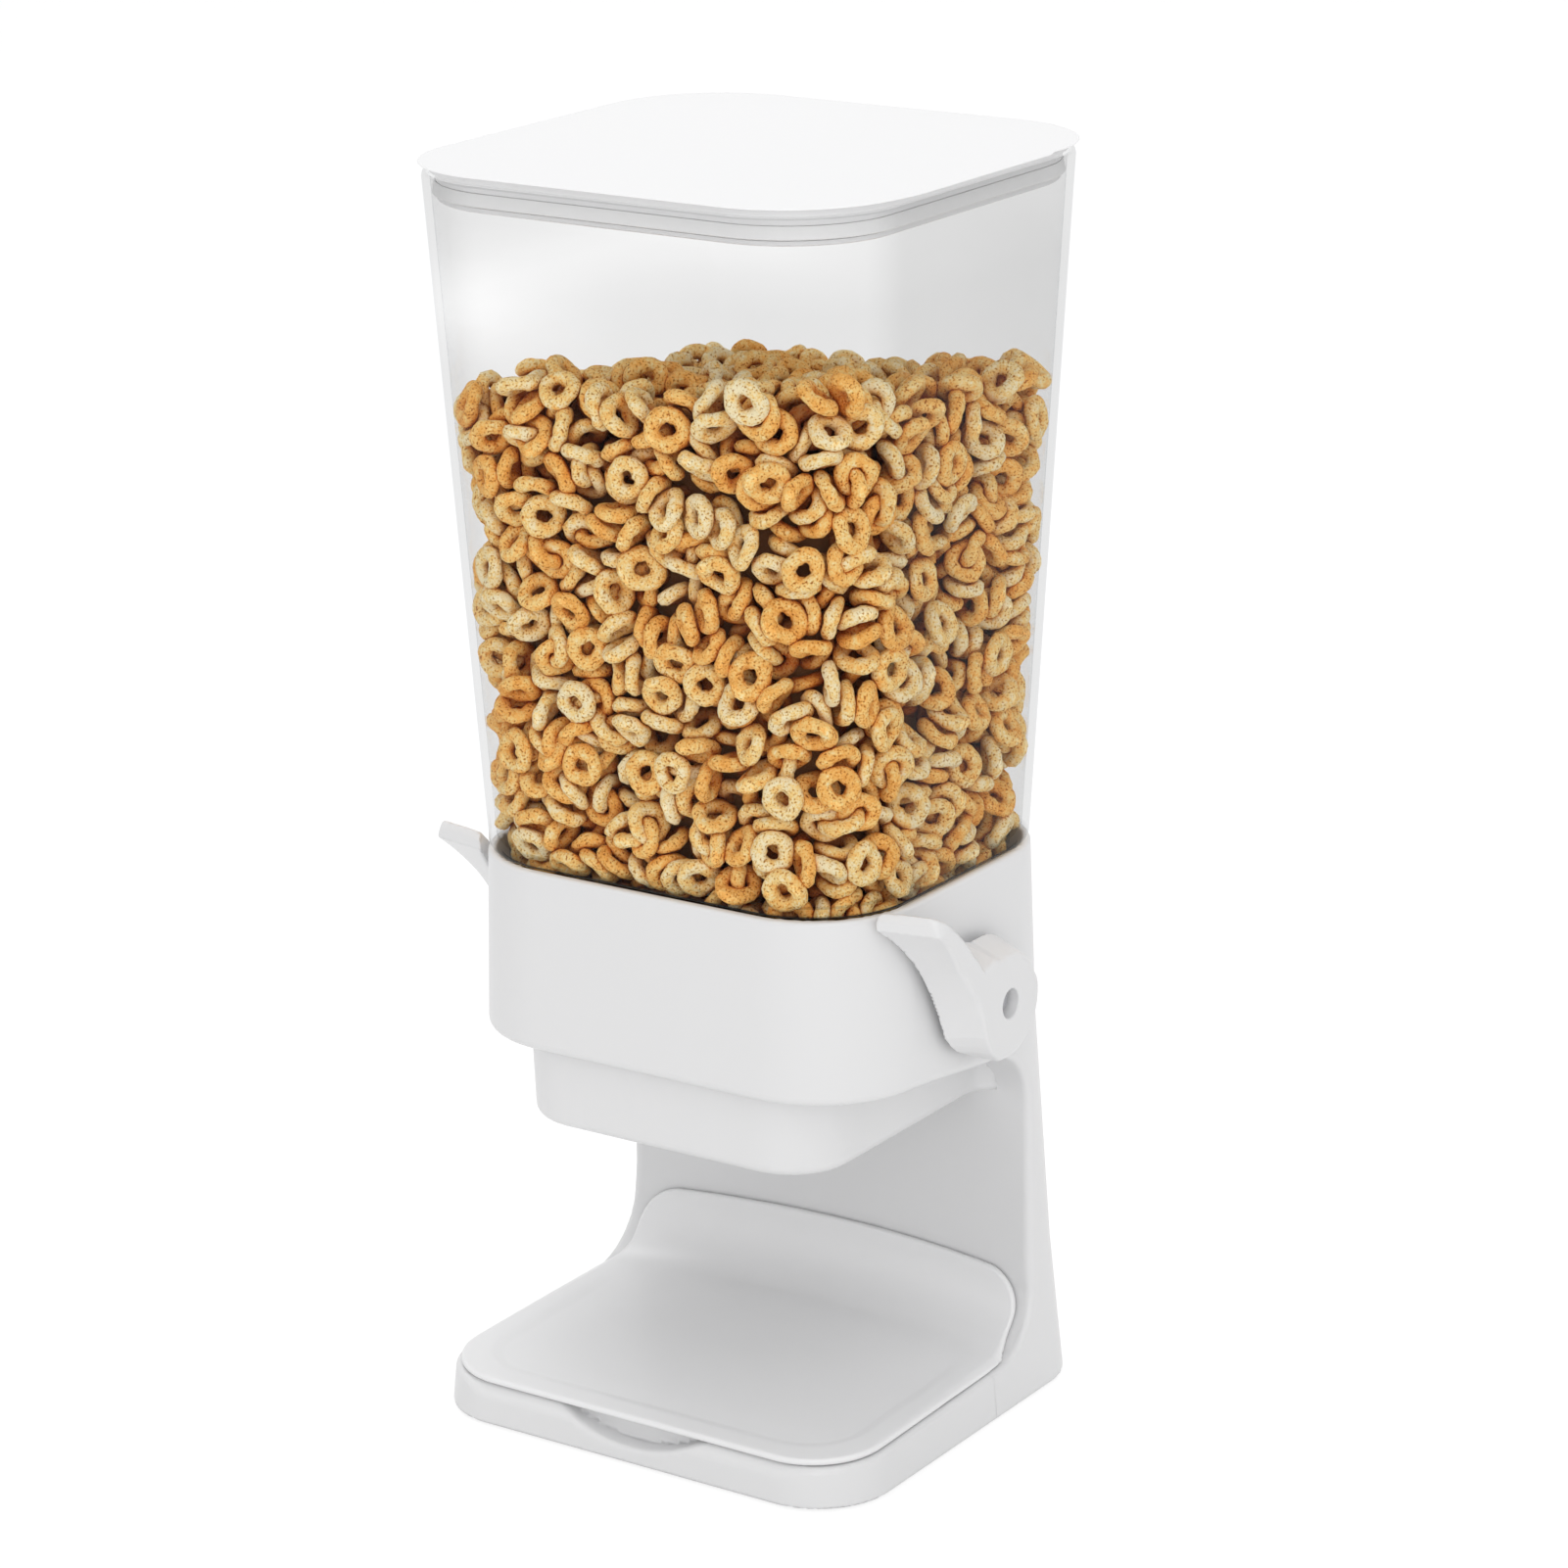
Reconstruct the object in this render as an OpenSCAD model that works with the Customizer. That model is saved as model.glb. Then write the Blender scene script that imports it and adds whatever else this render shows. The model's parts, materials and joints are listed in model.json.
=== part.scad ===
// Counter-top cereal dispenser: a clear tapered hopper with a sealed lid stands
// on a C-shaped stand. Two thumb wings turn a curved gate under the funnel, and
// the cereal drops through a chute into a bowl on a removable tray.
// Millimetres. +Z up, front towards -Y, origin on the table under the lid's centre.

/* [Overall] */
// Height from the table to the top of the lid
total_h = 385; // [320:1:465]
// Height of the housing's rim, where the hopper stands
rim_z = 176; // [172:1:212]

/* [Hopper and lid] */
// Width of the square hopper at its mouth
mouth_w = 156; // [150:1:190]
// How far each side of the hopper leans in at its foot
side_draft = 6.2; // [3:0.1:9]
// How far the hopper's front leans in at its foot
front_draft = 16.5; // [13:0.1:20]
// How far the hopper's back leans in at its foot
back_draft = 17.5; // [14:0.1:21]
// Corner radius at the mouth
mouth_r = 36; // [28:1:40]
// Corner radius at the foot
foot_r = 33; // [28:1:38]
// Wall of the clear hopper
hopper_wall = 2.4; // [1.8:0.1:3.2]
// Depth of the neck that drops into the housing
neck_h = 9; // [6:0.5:11]
// Thickness of the lid plate
lid_t = 2.6; // [2:0.1:4]
// Overhang of the lid past the hopper's mouth
lid_overhang = 0.9; // [0.5:0.1:2]
// Depth of the plug under the lid
plug_h = 12; // [10:0.5:18]

/* [Stand] */
// Width of the foot
base_w = 154.2; // [146:0.2:190]
// Reach of the foot in front of the lid's centre
base_front = 75.5; // [64:0.5:92]
// Reach of the foot behind the lid's centre
base_back = 66.6; // [64:0.2:82]
// Height of the foot where it sweeps up into the column
base_h = 15; // [14:0.5:20]
// Drop of the foot's top towards the front
base_fall = 2; // [0:0.5:3]
// Wall of the stand's mouldings
wall = 2.6; // [2:0.1:3.2]
// Height of the housing's underside at the front
under_z = 119.8; // [118:0.1:124]
// Deepest point of the column's hollow front face behind the lid's centre
column_y = 44.8; // [42:0.1:50]
// Radius of the column's hollow front face, seen from above
column_r = 255; // [220:5:320]
// Radius of the sweep from the foot into the column
sweep_r = 20; // [16:0.5:24]
// Radius of the arch from the column into the housing
arch_r = 20; // [16:0.5:22]

/* [Lever and gate] */
// Pivot height above the table
pivot_z = 139.5; // [137:0.5:143]
// Pivot behind the lid's centre
pivot_y = 1.5; // [0:0.5:4]
// Radius of the lever's hub
hub_r = 17.6; // [16:0.1:19]
// Thickness of the lever at the pivot
hub_w = 11.2; // [10:0.1:14]
// Radius of the hollow front face of the thumb wing
wing_r = 97.3; // [92:0.1:100]
// Thickness of the thumb wing at its tip
wing_t = 4.8; // [4:0.1:6]
// Side air between the housing and the lever
lever_air = 2.6; // [2:0.1:3.5]
// Radius of the screw recess in the hub
recess_r = 4.5; // [3.8:0.1:5]
// Radius of the round shaft
shaft_r = 5; // [4:0.1:6]
// Running clearance of the shaft in its bushing
shaft_fit = 0.05; // [0.02:0.01:0.1]
// Inner radius of the curved gate
gate_r = 38; // [36:0.5:40]
// Thickness of the curved gate
gate_t = 2.4; // [1.8:0.1:3]

/* [Funnel and chute] */
// Half width of the funnel's outlet
outlet_hx = 40.5; // [34:0.5:42]
// Half depth of the funnel's outlet
outlet_hy = 10.5; // [9:0.5:12]
// Wall of the funnel
funnel_wall = 1.8; // [1.4:0.1:2.4]
// Half width of the chute above its rounded lip
chute_hx = 54.4; // [52:0.1:58]
// Reach of the chute in front of the lid's centre
chute_front = 56; // [50:0.1:57]
// Height of the chute's lip above the table
chute_z = 94; // [88:0.5:98]
// Wall of the chute
chute_wall = 2.2; // [1.6:0.1:2.8]

/* [Tray] */
// Thickness of the tray
tray_t = 2.2; // [1.8:0.1:3]
// Height of the tray's back edge on the column
tray_top = 38; // [34:0.5:44]
// Depth of the tray's dished middle
dish = 1; // [0.4:0.1:1.2]

/* [Hidden] */

white = [0.94, 0.94, 0.94];
pale = [0.86, 0.86, 0.87];
clear = [0.85, 0.9, 0.93, 0.4];
rubber = [0.35, 0.35, 0.36];
steel = [0.7, 0.7, 0.72];

seat = 0.3;              // air between a loose piece and its seat
slip = 0.1;              // air round a keyed end
corner_n = 10;           // segments in a quarter of an outline
eps = 0.01;

// ---- Outlines and lofts ----------------------------------------------------

// Rounded outline from -hx to hx and from -yf to yb, clockwise
function outline(hx, yf, yb, r, z) =
    let (c = [[hx - r, yb - r], [r - hx, yb - r], [r - hx, r - yf], [hx - r, r - yf]])
    [for (k = [3:-1:0]) for (i = [corner_n:-1:0])
        let (a = 90 * (k + i / corner_n))
        [c[k].x + r * cos(a), c[k].y + r * sin(a), z]];

// Solid skin through a stack of sections with the same number of points, each
// drawn clockwise as seen from the end of the stack. Ends that are not flat are
// closed as fans round the two points in mids.
module loft(sections, mids = []) {
    n = len(sections[0]);
    m = len(sections);
    last = (m - 1) * n;
    polyhedron(
        points = concat([for (s = sections) for (p = s) p], mids),
        faces = concat(
            mids == [] ? [[for (i = [n - 1:-1:0]) i], [for (i = [0:n - 1]) last + i]]
                : [for (i = [0:n - 1], e = [0, 1]) let (j = (i + 1) % n)
                    e == 0 ? [j, i, m * n] : [last + i, last + j, m * n + 1]],
            [for (k = [0:m - 2]) for (i = [0:n - 1]) for (h = [0, 1])
                let (j = (i + 1) % n, a = k * n, b = a + n)
                h == 0 ? [a + i, a + j, b + j] : [a + i, b + j, b + i]]));
}

// A profile drawn in Y and Z, made solid from x0 to x1
module along_x(x0, x1) {
    translate([x0, 0, 0]) rotate([90, 0, 90]) linear_extrude(x1 - x0) children();
}

// A round bar along X through (y, z)
module bar_x(x0, x1, y, z, r, fn = 48) {
    translate([x0, y, z]) rotate([0, 90, 0]) cylinder(h = x1 - x0, r = r, $fn = fn);
}

// ---- Hopper shape ----------------------------------------------------------

lid_z = total_h - lid_t;             // underside of the lid plate
mouth_z = lid_z - seat;              // top edge of the hopper
foot_z = rim_z + seat;               // shoulder of the hopper over the rim
mouth_h = mouth_w / 2;

// Outline of the hopper at height z, set in by d
function hopper_at(z, d) =
    let (k = (mouth_z - z) / (mouth_z - foot_z))
    outline(mouth_h - k * side_draft - d, mouth_h - k * front_draft - d,
            mouth_h - k * back_draft - d, mouth_r + k * (foot_r - mouth_r) - d, z);

// Outline of the hopper's neck, which is straight, set in by d
neck_step = 3.4;
function neck_at(z, d) =
    outline(mouth_h - side_draft - neck_step - d, mouth_h - front_draft - neck_step - d,
            mouth_h - back_draft - neck_step - d, foot_r - neck_step - d, z);

// ---- Stand shape -----------------------------------------------------------

rim_lip = 0.5;                       // the rim stands this far outside the hopper
rim_hx = mouth_h - side_draft + rim_lip;
rim_front = mouth_h - front_draft + rim_lip;
rim_back = mouth_h - back_draft + rim_lip;
housing_r = foot_r + rim_lip;
housing_flare = 1.5;                 // the housing is this much wider at its foot
waist_z = 45;                        // top of the foot's flare
base_r = 24;
base_lean = 1.2;                     // draft of the foot's sides
ground = 0.8;                        // the mouldings stand this high on the feet

stand_levels = [ground, base_h, waist_z, under_z, rim_z - 1.4, rim_z - 0.5, rim_z];
stand_hx = [base_w / 2, base_w / 2 - base_lean, rim_hx + housing_flare + 0.6,
            rim_hx + housing_flare, rim_hx, rim_hx - 0.3, rim_hx - 1];
stand_front = [base_front, base_front - 0.5, base_front - 5, rim_front + 0.6,
               rim_front, rim_front - 0.3, rim_front - 1];
stand_back = [base_back, base_back - 0.4, base_back - 1.6, rim_back + 1,
              rim_back, rim_back - 0.3, rim_back - 1];
stand_r = [base_r, base_r + 0.5, base_r + 3, housing_r + 0.5,
           housing_r, housing_r - 0.3, housing_r - 1];

function pairs(v) = [for (i = [0:len(v) - 1]) [stand_levels[i], v[i]]];
function hx_at(z) = lookup(z, pairs(stand_hx));
function stand_at(z, d) =
    outline(hx_at(z) - d, lookup(z, pairs(stand_front)) - d,
            lookup(z, pairs(stand_back)) - d, lookup(z, pairs(stand_r)) - d, z);

// The stand's outer form
module stand_form() {
    loft([for (z = stand_levels) stand_at(z, 0)]);
}

// The same form set in by the wall, open through the foot and the rim
module stand_core() {
    loft(concat([moved(stand_at(ground, wall), ground - 1)],
        [for (i = [1:4]) stand_at(stand_levels[i], wall)],
        [moved(stand_at(stand_levels[4], wall), rim_z + 1)]));
}

under_back_z = under_z - 5.3;        // the underside falls towards the column
slope_y = -30;                       // where the fall starts
column_sag = column_r - sqrt(column_r * column_r - base_w * base_w / 4);
sweep_y = column_y - sweep_r - column_sag - 0.3;    // flat in front of here, across the whole foot
deck_y = column_y - arch_r - 8;      // the housing's floor is solid in front of here
far = 200;                           // past every outline

// The bowl bay: the open front of the stand, grown by d into its walls
module bay(d) {
    z0 = base_h - d;
    z1 = under_back_z + d;
    r0 = sweep_r + d;
    r1 = arch_r + d;
    r = column_r + d;
    translate([0, column_y - column_r, 0]) rotate_extrude($fn = 96) difference() {
        translate([0, z0]) square([r, z1 - z0]);
        translate([r - r0, z0]) difference() {
            translate([0, -1]) square([r0 + 1, r0 + 1]);
            translate([0, r0]) circle(r0, $fn = 48);
        }
        translate([r - r1, z1 - r1]) difference() {
            square([r1 + 1, r1 + 1]);
            circle(r1, $fn = 48);
        }
    }
    along_x(-far, far) polygon([[sweep_y, z0], [-base_front, z0 - base_fall],
        [-far, z0 - base_fall], [-far, z0 + 20], [sweep_y, z0 + 20]]);
    along_x(-far, far) polygon([[sweep_y, z1], [slope_y, under_z + d], [-far, under_z + d],
        [-far, z1 - 20], [sweep_y, z1 - 20]]);
}

floor_z = under_z + 2.8;             // flat floor inside the housing
deck = 2.6;                          // thickness between the column and the housing
part_y = 10;                         // parting line between foot and stand
part_gap = 0.15;

module front_zone() {
    translate([-far, -far, -1]) cube([2 * far, far + part_y, base_h + 12]);
}

// Hollow of the mouldings
module hollow() {
    difference() {
        stand_core();
        bay(wall);
        translate([-far, -far, floor_z - deck]) cube([2 * far, 2 * far, deck]);
        translate([-far, -far, under_back_z]) cube([2 * far, far + deck_y, floor_z - under_back_z]);
    }
}

// ---- Chute, funnel and pivot places ----------------------------------------

chute_flare = 0.9;
chute_r = 19.8;
lip = 3.6;                           // thickness of the rolled lip
chute_back = pivot_y + gate_r + gate_t - 7.7;   // inside face of the chute's back wall

// Plan of the chute at height z, set in by d: round front corners, open sides
// straight to the back
function chute_at(z, d, back) =
    let (k = (z - chute_z) / (under_z - chute_z), hx = chute_hx + k * chute_flare,
         r = chute_r + k * 0.6, front = chute_front + k * 0.7)
    concat([for (a = [360:-90 / corner_n:270])
            [hx - r + (r - d) * cos(a), r - front + (r - d) * sin(a), z]],
        [for (a = [270:-90 / corner_n:180])
            [r - hx + (r - d) * cos(a), r - front + (r - d) * sin(a), z]],
        [[d - hx, back, z], [hx - d, back, z]]);
flange_t = 2;
flange_x = 8;                        // flange past the chute's sides
flange_y = 3.6;                      // and past its front

arm_t = 3;                           // gate arm
wiper_t = 1.2;                       // soft ring round the outlet
arm_x = outlet_hx + funnel_wall + wiper_t + 0.6;    // inside face of the gate arm
boss_x = arm_x + 14;                 // outer end of the gate's boss
boss_r = 9.8;
key = 1.4 * shaft_r;                 // square end of the shaft
pivot_hx = hx_at(pivot_z);
hub_x = pivot_hx + lever_air;        // inside face of the lever
bearing_x = pivot_hx - wall - 5;     // inner end of the housing's boss
bearing_r = shaft_r + 2;             // outside of the bushing
recess_h = 5;                        // depth of the screw recess
key_out = hub_x + hub_w - recess_h - 2; // outer end of the shaft

wire_r = 0.6;                        // return spring
coil_r = shaft_r + 3.2;
leg = 2;

ledge_z = rim_z - neck_h - 3.6;      // funnel flange seat
flange_z = ledge_z + 2.4;            // top of the funnel's flange
gasket_t = 1.2;
outlet_z = 100;

// ---- Stand -----------------------------------------------------------------

screw_r = 1.3;                       // pilot holes
boss_wall = 2.4;
plate_z = 1.8;                       // underside of the bottom plate
plate_t = 2;
foot_x = base_w / 2 - 17;
feet = [for (x = [-foot_x, foot_x]) for (y = [-base_front + 17, base_back - 17]) [x, y]];
rear_screws = [[-base_w / 2 + 13, part_y + 12], [base_w / 2 - 13, part_y + 12],
               [0, base_back - 11]];
front_screws = [[-base_w / 2 + 13, part_y - 12], [base_w / 2 - 13, part_y - 12],
                [0, -base_front + 24]];
chute_screw_x = chute_hx + chute_flare + 4.2;
chute_screws_at = [for (x = [-chute_screw_x, chute_screw_x])
    for (y = [pivot_y - 18, pivot_y + 14]) [x, y]];

module stand_shell() {
    color(white) difference() {
        union() {
            difference() {
                stand_form();
                hollow();
            }
            // ledge that the funnel's flange sits on
            translate([0, 0, ledge_z - 3]) difference() {
                linear_extrude(3) polygon([for (p = stand_at(ledge_z, wall - 0.8)) [p.x, p.y]]);
                translate([0, 0, -1]) linear_extrude(5)
                    polygon([for (p = stand_at(ledge_z, wall + 3)) [p.x, p.y]]);
            }
            // bearing bosses
            for (s = [0, 1]) mirror([s, 0, 0])
                bar_x(bearing_x, pivot_hx - 1, pivot_y, pivot_z, bearing_r + 3);
            // screw bosses over the bottom plate
            for (p = rear_screws) translate([p.x, p.y, plate_z + plate_t])
                cylinder(h = base_h - plate_t - plate_z - 1, r = screw_r + boss_wall, $fn = 32);
            translate([-1, base_back - 10, plate_z + plate_t]) cube([2, 9, base_h - plate_t - plate_z - 1]);
        }
        bay(0);
        front_zone();
        for (s = [0, 1]) mirror([s, 0, 0]) {
            bar_x(bearing_x - 1, pivot_hx + 2, pivot_y, pivot_z, bearing_r + slip / 2);
            bar_x(bearing_x - 1, bearing_x + leg + 0.5, pivot_y + coil_r, pivot_z, wire_r + slip, 16);
        }
        loft([chute_at(chute_z - seat, -seat, chute_back + chute_wall + seat),
              chute_at(floor_z + 1, -seat, chute_back + chute_wall + seat)]);
        for (p = rear_screws) translate([p.x, p.y, 0])
            cylinder(h = base_h - 3, r = screw_r, $fn = 24);
        for (p = chute_screws_at) translate([p.x, p.y, floor_z - 5])
            cylinder(h = 6, r = screw_r, $fn = 24);
    }
}

scoop_hx = 20.5;                     // finger scoop in the foot's front edge
scoop_drop = 5.7;
scoop_deep = 7;
scoop_r = (scoop_hx * scoop_hx + scoop_drop * scoop_drop) / (2 * scoop_drop);
nose = 3.2;                          // slope along the foot's front edge
nose_top = base_h - base_fall;
scoop_top = nose_top - 2.6;
module scoop(d) {
    translate([0, -base_front + scoop_deep + d, scoop_top - scoop_drop + scoop_r])
        rotate([90, 0, 0]) cylinder(h = 20, r = scoop_r + d, $fn = 96);
}

module base_front_part() {
    color(white) difference() {
        union() {
            difference() {
                stand_form();
                difference() {
                    hollow();
                    intersection() {
                        scoop(wall);
                        translate([-far, -far, plate_z + plate_t]) cube(2 * far);
                    }
                }
            }
            for (p = front_screws) translate([p.x, p.y, plate_z + plate_t])
                cylinder(h = base_h - plate_t - plate_z - 2.5, r = screw_r + boss_wall, $fn = 32);
        }
        bay(0);
        scoop(0);
        along_x(-far, far) polygon([[-base_front + nose, base_h], [-base_front + nose, nose_top],
            [-base_front - 1, nose_top - nose], [-base_front - 1, base_h]]);
        translate([-far, part_y - part_gap, -1]) cube([2 * far, far, far]);
        translate([-far, -far, base_h + 1]) cube([2 * far, 2 * far, far]);
        for (p = front_screws) translate([p.x, p.y, 0])
            cylinder(h = base_h - 4.5, r = screw_r, $fn = 24);
    }
}

foot_pad_r = 6;
module bottom_plate() {
    color(white) difference() {
        linear_extrude_at(plate_z, plate_t)
            polygon([for (p = stand_at(plate_z + plate_t, wall + seat)) [p.x, p.y]]);
        for (p = feet) translate([p.x, p.y, plate_z - 1]) cylinder(h = 2, r = foot_pad_r + slip, $fn = 48);
        for (p = concat(rear_screws, front_screws)) translate([p.x, p.y, plate_z - 1]) {
            cylinder(h = 2, r = 3.2, $fn = 32);
            cylinder(h = plate_t + 2, r = screw_r + 0.3, $fn = 32);
        }
    }
}

module linear_extrude_at(z, h) {
    translate([0, 0, z]) linear_extrude(h) children();
}

module rubber_feet() {
    color(rubber) for (p = feet) translate([p.x, p.y, 0]) rotate_extrude($fn = 48)
        polygon([[0, 0], [foot_pad_r - 0.5, 0], [foot_pad_r, 0.5],
                 [foot_pad_r, plate_z + 1], [0, plate_z + 1]]);
}

// Pan-head screw with its head down and its tip up
module screw(head_r, head_h, r, length) {
    cylinder(h = head_h, r = head_r, $fn = 32);
    translate([0, 0, head_h - eps]) cylinder(h = length, r = r, $fn = 24);
}

module base_screws() {
    color(steel) for (p = concat(rear_screws, front_screws))
        translate([p.x, p.y, plate_z - 0.1]) screw(2.9, 1.1, screw_r - 0.05, 7);
}

// ---- Chute -----------------------------------------------------------------

module chute() {
    back = chute_back + chute_wall;
    flange_hx = chute_hx + chute_flare + flange_x;
    color(white) difference() {
        union() {
            loft(concat([for (v = [[0, 3], [0.5, 1.9], [1.4, 0.8], [2.8, 0.2], [4.5, 0]])
                chute_at(chute_z + v.x, v.y, back)], [chute_at(floor_z + 1, 0, back)]));
            linear_extrude_at(floor_z, flange_t) polygon(concat(
                [for (p = outline(flange_hx, chute_front + flange_y, back, chute_r + flange_y, 0))
                    if (p.y < 0) [p.x, p.y]],
                [[-flange_hx, back], [flange_hx, back]]));
        }
        loft([moved(chute_at(chute_z, lip, chute_back), chute_z - 2),
              chute_at(chute_z + 4, lip, chute_back),
              chute_at(chute_z + 9, chute_wall, chute_back),
              chute_at(floor_z + flange_t, chute_wall, chute_back),
              moved(chute_at(floor_z + flange_t, chute_wall, chute_back), floor_z + flange_t + 2)]);
        for (p = chute_screws_at) translate([p.x, p.y, floor_z - 1])
            cylinder(h = flange_t + 2, r = screw_r + 0.3, $fn = 32);
    }
}

module chute_screws() {
    color(steel) for (p = chute_screws_at) translate([p.x, p.y, floor_z + flange_t + 1.4])
        mirror([0, 0, 1]) screw(2.4, 1.4, screw_r - 0.05, 6);
}

// ---- Funnel ----------------------------------------------------------------

mouth_in = 5.4;                      // funnel mouth inside the hopper's foot
knee_z = pivot_z + boss_r + 3.5;     // where the funnel's sides turn steep
knee_y = gate_r - 4.5;
function funnel_levels(d) = [
    outline(outlet_hx + d, outlet_hy - pivot_y + d, outlet_hy + pivot_y + d, 3 + d, outlet_z),
    outline(outlet_hx + 0.4 + d, knee_y - pivot_y + d, knee_y + pivot_y + d, 10 + d, knee_z),
    neck_at(flange_z, mouth_in - neck_step - d)];

function moved(s, z) = [for (p = s) [p.x, p.y, z]];

wiper_h = 1.4;

// Stops: rubber sleeves on pins, which the gate's arms meet at each end
travel = 32;                         // degrees that the lever turns
arm_a = 13;                          // half angle of the arms
stop_at = 20;                        // distance of the sleeves from the pivot
stop_pin = 1.3;
stop_r = 2.3;
stop_off = asin((stop_r + seat) / stop_at);
stop_angles = [-arm_a - stop_off, arm_a + travel + stop_off];
stop_out = arm_x + arm_t;
function stop_y(a) = pivot_y + stop_at * sin(a);
function stop_z(a) = pivot_z - stop_at * cos(a);

module below_pivot(r) {
    difference() {
        translate([-far, -far, 0]) cube([2 * far, 2 * far, pivot_z]);
        bar_x(-far, far, pivot_y, pivot_z, r, 96);
    }
}

module funnel() {
    outer = funnel_levels(funnel_wall);
    inner = funnel_levels(0);
    color(white) difference() {
        union() {
            loft(outer);
            linear_extrude_at(ledge_z, flange_z - ledge_z)
                polygon([for (p = stand_at(ledge_z, wall + 0.8)) [p.x, p.y]]);
            // pins that carry the stop sleeves
            for (s = [0, 1], a = stop_angles) mirror([s, 0, 0])
                bar_x(outlet_hx + 0.3, stop_out, stop_y(a), stop_z(a), stop_pin, 24);
        }
        loft(concat([moved(inner[0], outlet_z - 1)], [for (i = [1:2]) inner[i]],
            [moved(inner[2], flange_z + 1)]));
        below_pivot(gate_r - wiper_h - 0.4);
    }
}

module outlet_wiper() {
    color(pale) difference() {
        loft(funnel_levels(funnel_wall + wiper_t));
        loft(funnel_levels(funnel_wall));
        below_pivot(gate_r - 0.3);
        bar_x(-far, far, pivot_y, pivot_z, gate_r - 5, 96);
        translate([-far, -far, pivot_z - 20]) cube([2 * far, 2 * far, far]);
    }
}

module hopper_gasket() {
    color(pale) difference() {
        linear_extrude_at(flange_z, gasket_t) polygon([for (p = neck_at(0, -0.2)) [p.x, p.y]]);
        linear_extrude_at(flange_z - 1, gasket_t + 2) polygon([for (p = neck_at(0, 2)) [p.x, p.y]]);
    }
}

// ---- Lever, shaft and gate -------------------------------------------------

wing_cy = pivot_y - 112.2;           // centre of the wing's hollow front face
wing_cz = pivot_z - 38.2;
wing_a0 = 18.7;                      // lower and upper end of that face, in degrees
wing_a1 = 47.5;
tip_a = wing_a1 + 1.9;               // back edge of the wing's tip
wing_grow = 0.62;                    // the wing thickens this much per degree
tip_lean = 3.2;                      // the tip stands out this much past the hub
edge_r = 3.5;                        // rounding of the lever's outer edge
tip_r = 5;                           // rounding of the tip's outer corner

function on_wing(a, r) = [wing_cy + r * cos(a), wing_cz + r * sin(a)];
function clamp01(v) = max(0, min(1, v));

// Side outline of the lever, clockwise: [y, z, sweep back per mm outwards, tip]
lever_side = concat(
    [for (i = [0:8]) let (a = wing_a0 + (wing_a1 - wing_a0) * i / 8, p = on_wing(a, wing_r))
        [p.x, p.y, 0.95 - 0.75 * i / 8, i == 8 ? 1 : i == 7 ? 0.3 : 0]],
    [let (p = on_wing(tip_a - 0.6, wing_r + wing_t * 0.5)) [p.x, p.y, 0.1, 1]],
    [for (i = [0:3]) let (a = tip_a - 5 * i, p = on_wing(a, wing_r + wing_t + wing_grow * 5 * i))
        [p.x, p.y, 0, i == 0 ? 1 : i == 1 ? 0.3 : 0]],
    [let (p = on_wing(tip_a - 18, wing_r + wing_t + wing_grow * 20)) [p.x, p.y, 0, 0]],
    [for (i = [0:15]) let (a = 104 - 13.9 * i)
        [pivot_y + hub_r * cos(a), pivot_z + hub_r * sin(a), 0, 0]],
    [[pivot_y - 13.8, pivot_z - 13, 0.55, 0], [pivot_y - 17.2, pivot_z - 10.4, 0.8, 0]]);

// The point at index i drawn in by d, as [y, z]
function drawn_in(v, i, d) =
    let (n = len(v), a = v[(i + n - 1) % n], b = v[(i + 1) % n], u = [b.x - a.x, b.y - a.y])
    [v[i].x + d * u.y / norm(u), v[i].y - d * u.x / norm(u)];

// One station of the lever, a mm inside its outer face
function lever_at(a) = [for (i = [0:len(lever_side) - 1])
    let (p = lever_side[i],
         k = clamp01((norm([p.x - pivot_y, p.y - pivot_z]) - hub_r) / 12),
         r = edge_r * (1 - 0.4 * k),
         d = a >= edge_r ? 0 : r - sqrt(r * r - pow(r * (1 - a / edge_r), 2)),
         e = a >= tip_r ? 0 : tip_r - sqrt(tip_r * tip_r - pow(tip_r - a, 2)),
         x = a > hub_w ? hub_x + hub_w - a : hub_x + hub_w
             + tip_lean * clamp01((p.y - pivot_z - 18.5) / 15)
             - (a < edge_r ? a * r / edge_r : r + a - edge_r),
         q = drawn_in(lever_side, i, d), t = p[3] * max(0, e - d))
    [x, q.x + p.z * (x - hub_x) + 0.73 * t, q.y - 0.68 * t]];

// Space taken by the housing and the hopper, with side air
module beside() {
    loft([stand_at(under_z - 15, -lever_air), stand_at(under_z, -lever_air),
          stand_at(stand_levels[4], -lever_air), hopper_at(rim_z + 3, -lever_air),
          hopper_at(rim_z + 40, -lever_air)]);
    bar_x(0, hub_x, pivot_y, pivot_z, hub_r + 5);
}

module lever() {
    color(white) difference() {
        loft([for (a = [hub_w + 10, 6, edge_r, 2.4, 1.4, 0.6, 0.15, 0]) lever_at(a)],
            [for (x = [hub_x - 10, hub_x + hub_w]) [x, pivot_y - 15.5, pivot_z + 8.5]]);
        beside();
        bar_x(hub_x + hub_w - recess_h, hub_x + hub_w + 10, pivot_y, pivot_z, recess_r);
        bar_x(hub_x - 1, hub_x + hub_w, pivot_y, pivot_z, 1.9, 32);
        key_bar(hub_x - 1, key_out + slip, slip);
    }
}

// Square bar along X on the pivot
module key_bar(x0, x1, air) {
    s = key + 2 * air;
    translate([x0, pivot_y - s / 2, pivot_z - s / 2]) cube([x1 - x0, s, s]);
}

module shaft() {
    color(pale) difference() {
        union() {
            bar_x(boss_x + 0.2, hub_x - 0.2, pivot_y, pivot_z, shaft_r);
            key_bar(arm_x + 2, key_out, 0);
        }
        bar_x(key_out - 11, key_out + 1, pivot_y, pivot_z, screw_r, 24);
    }
}

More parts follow.
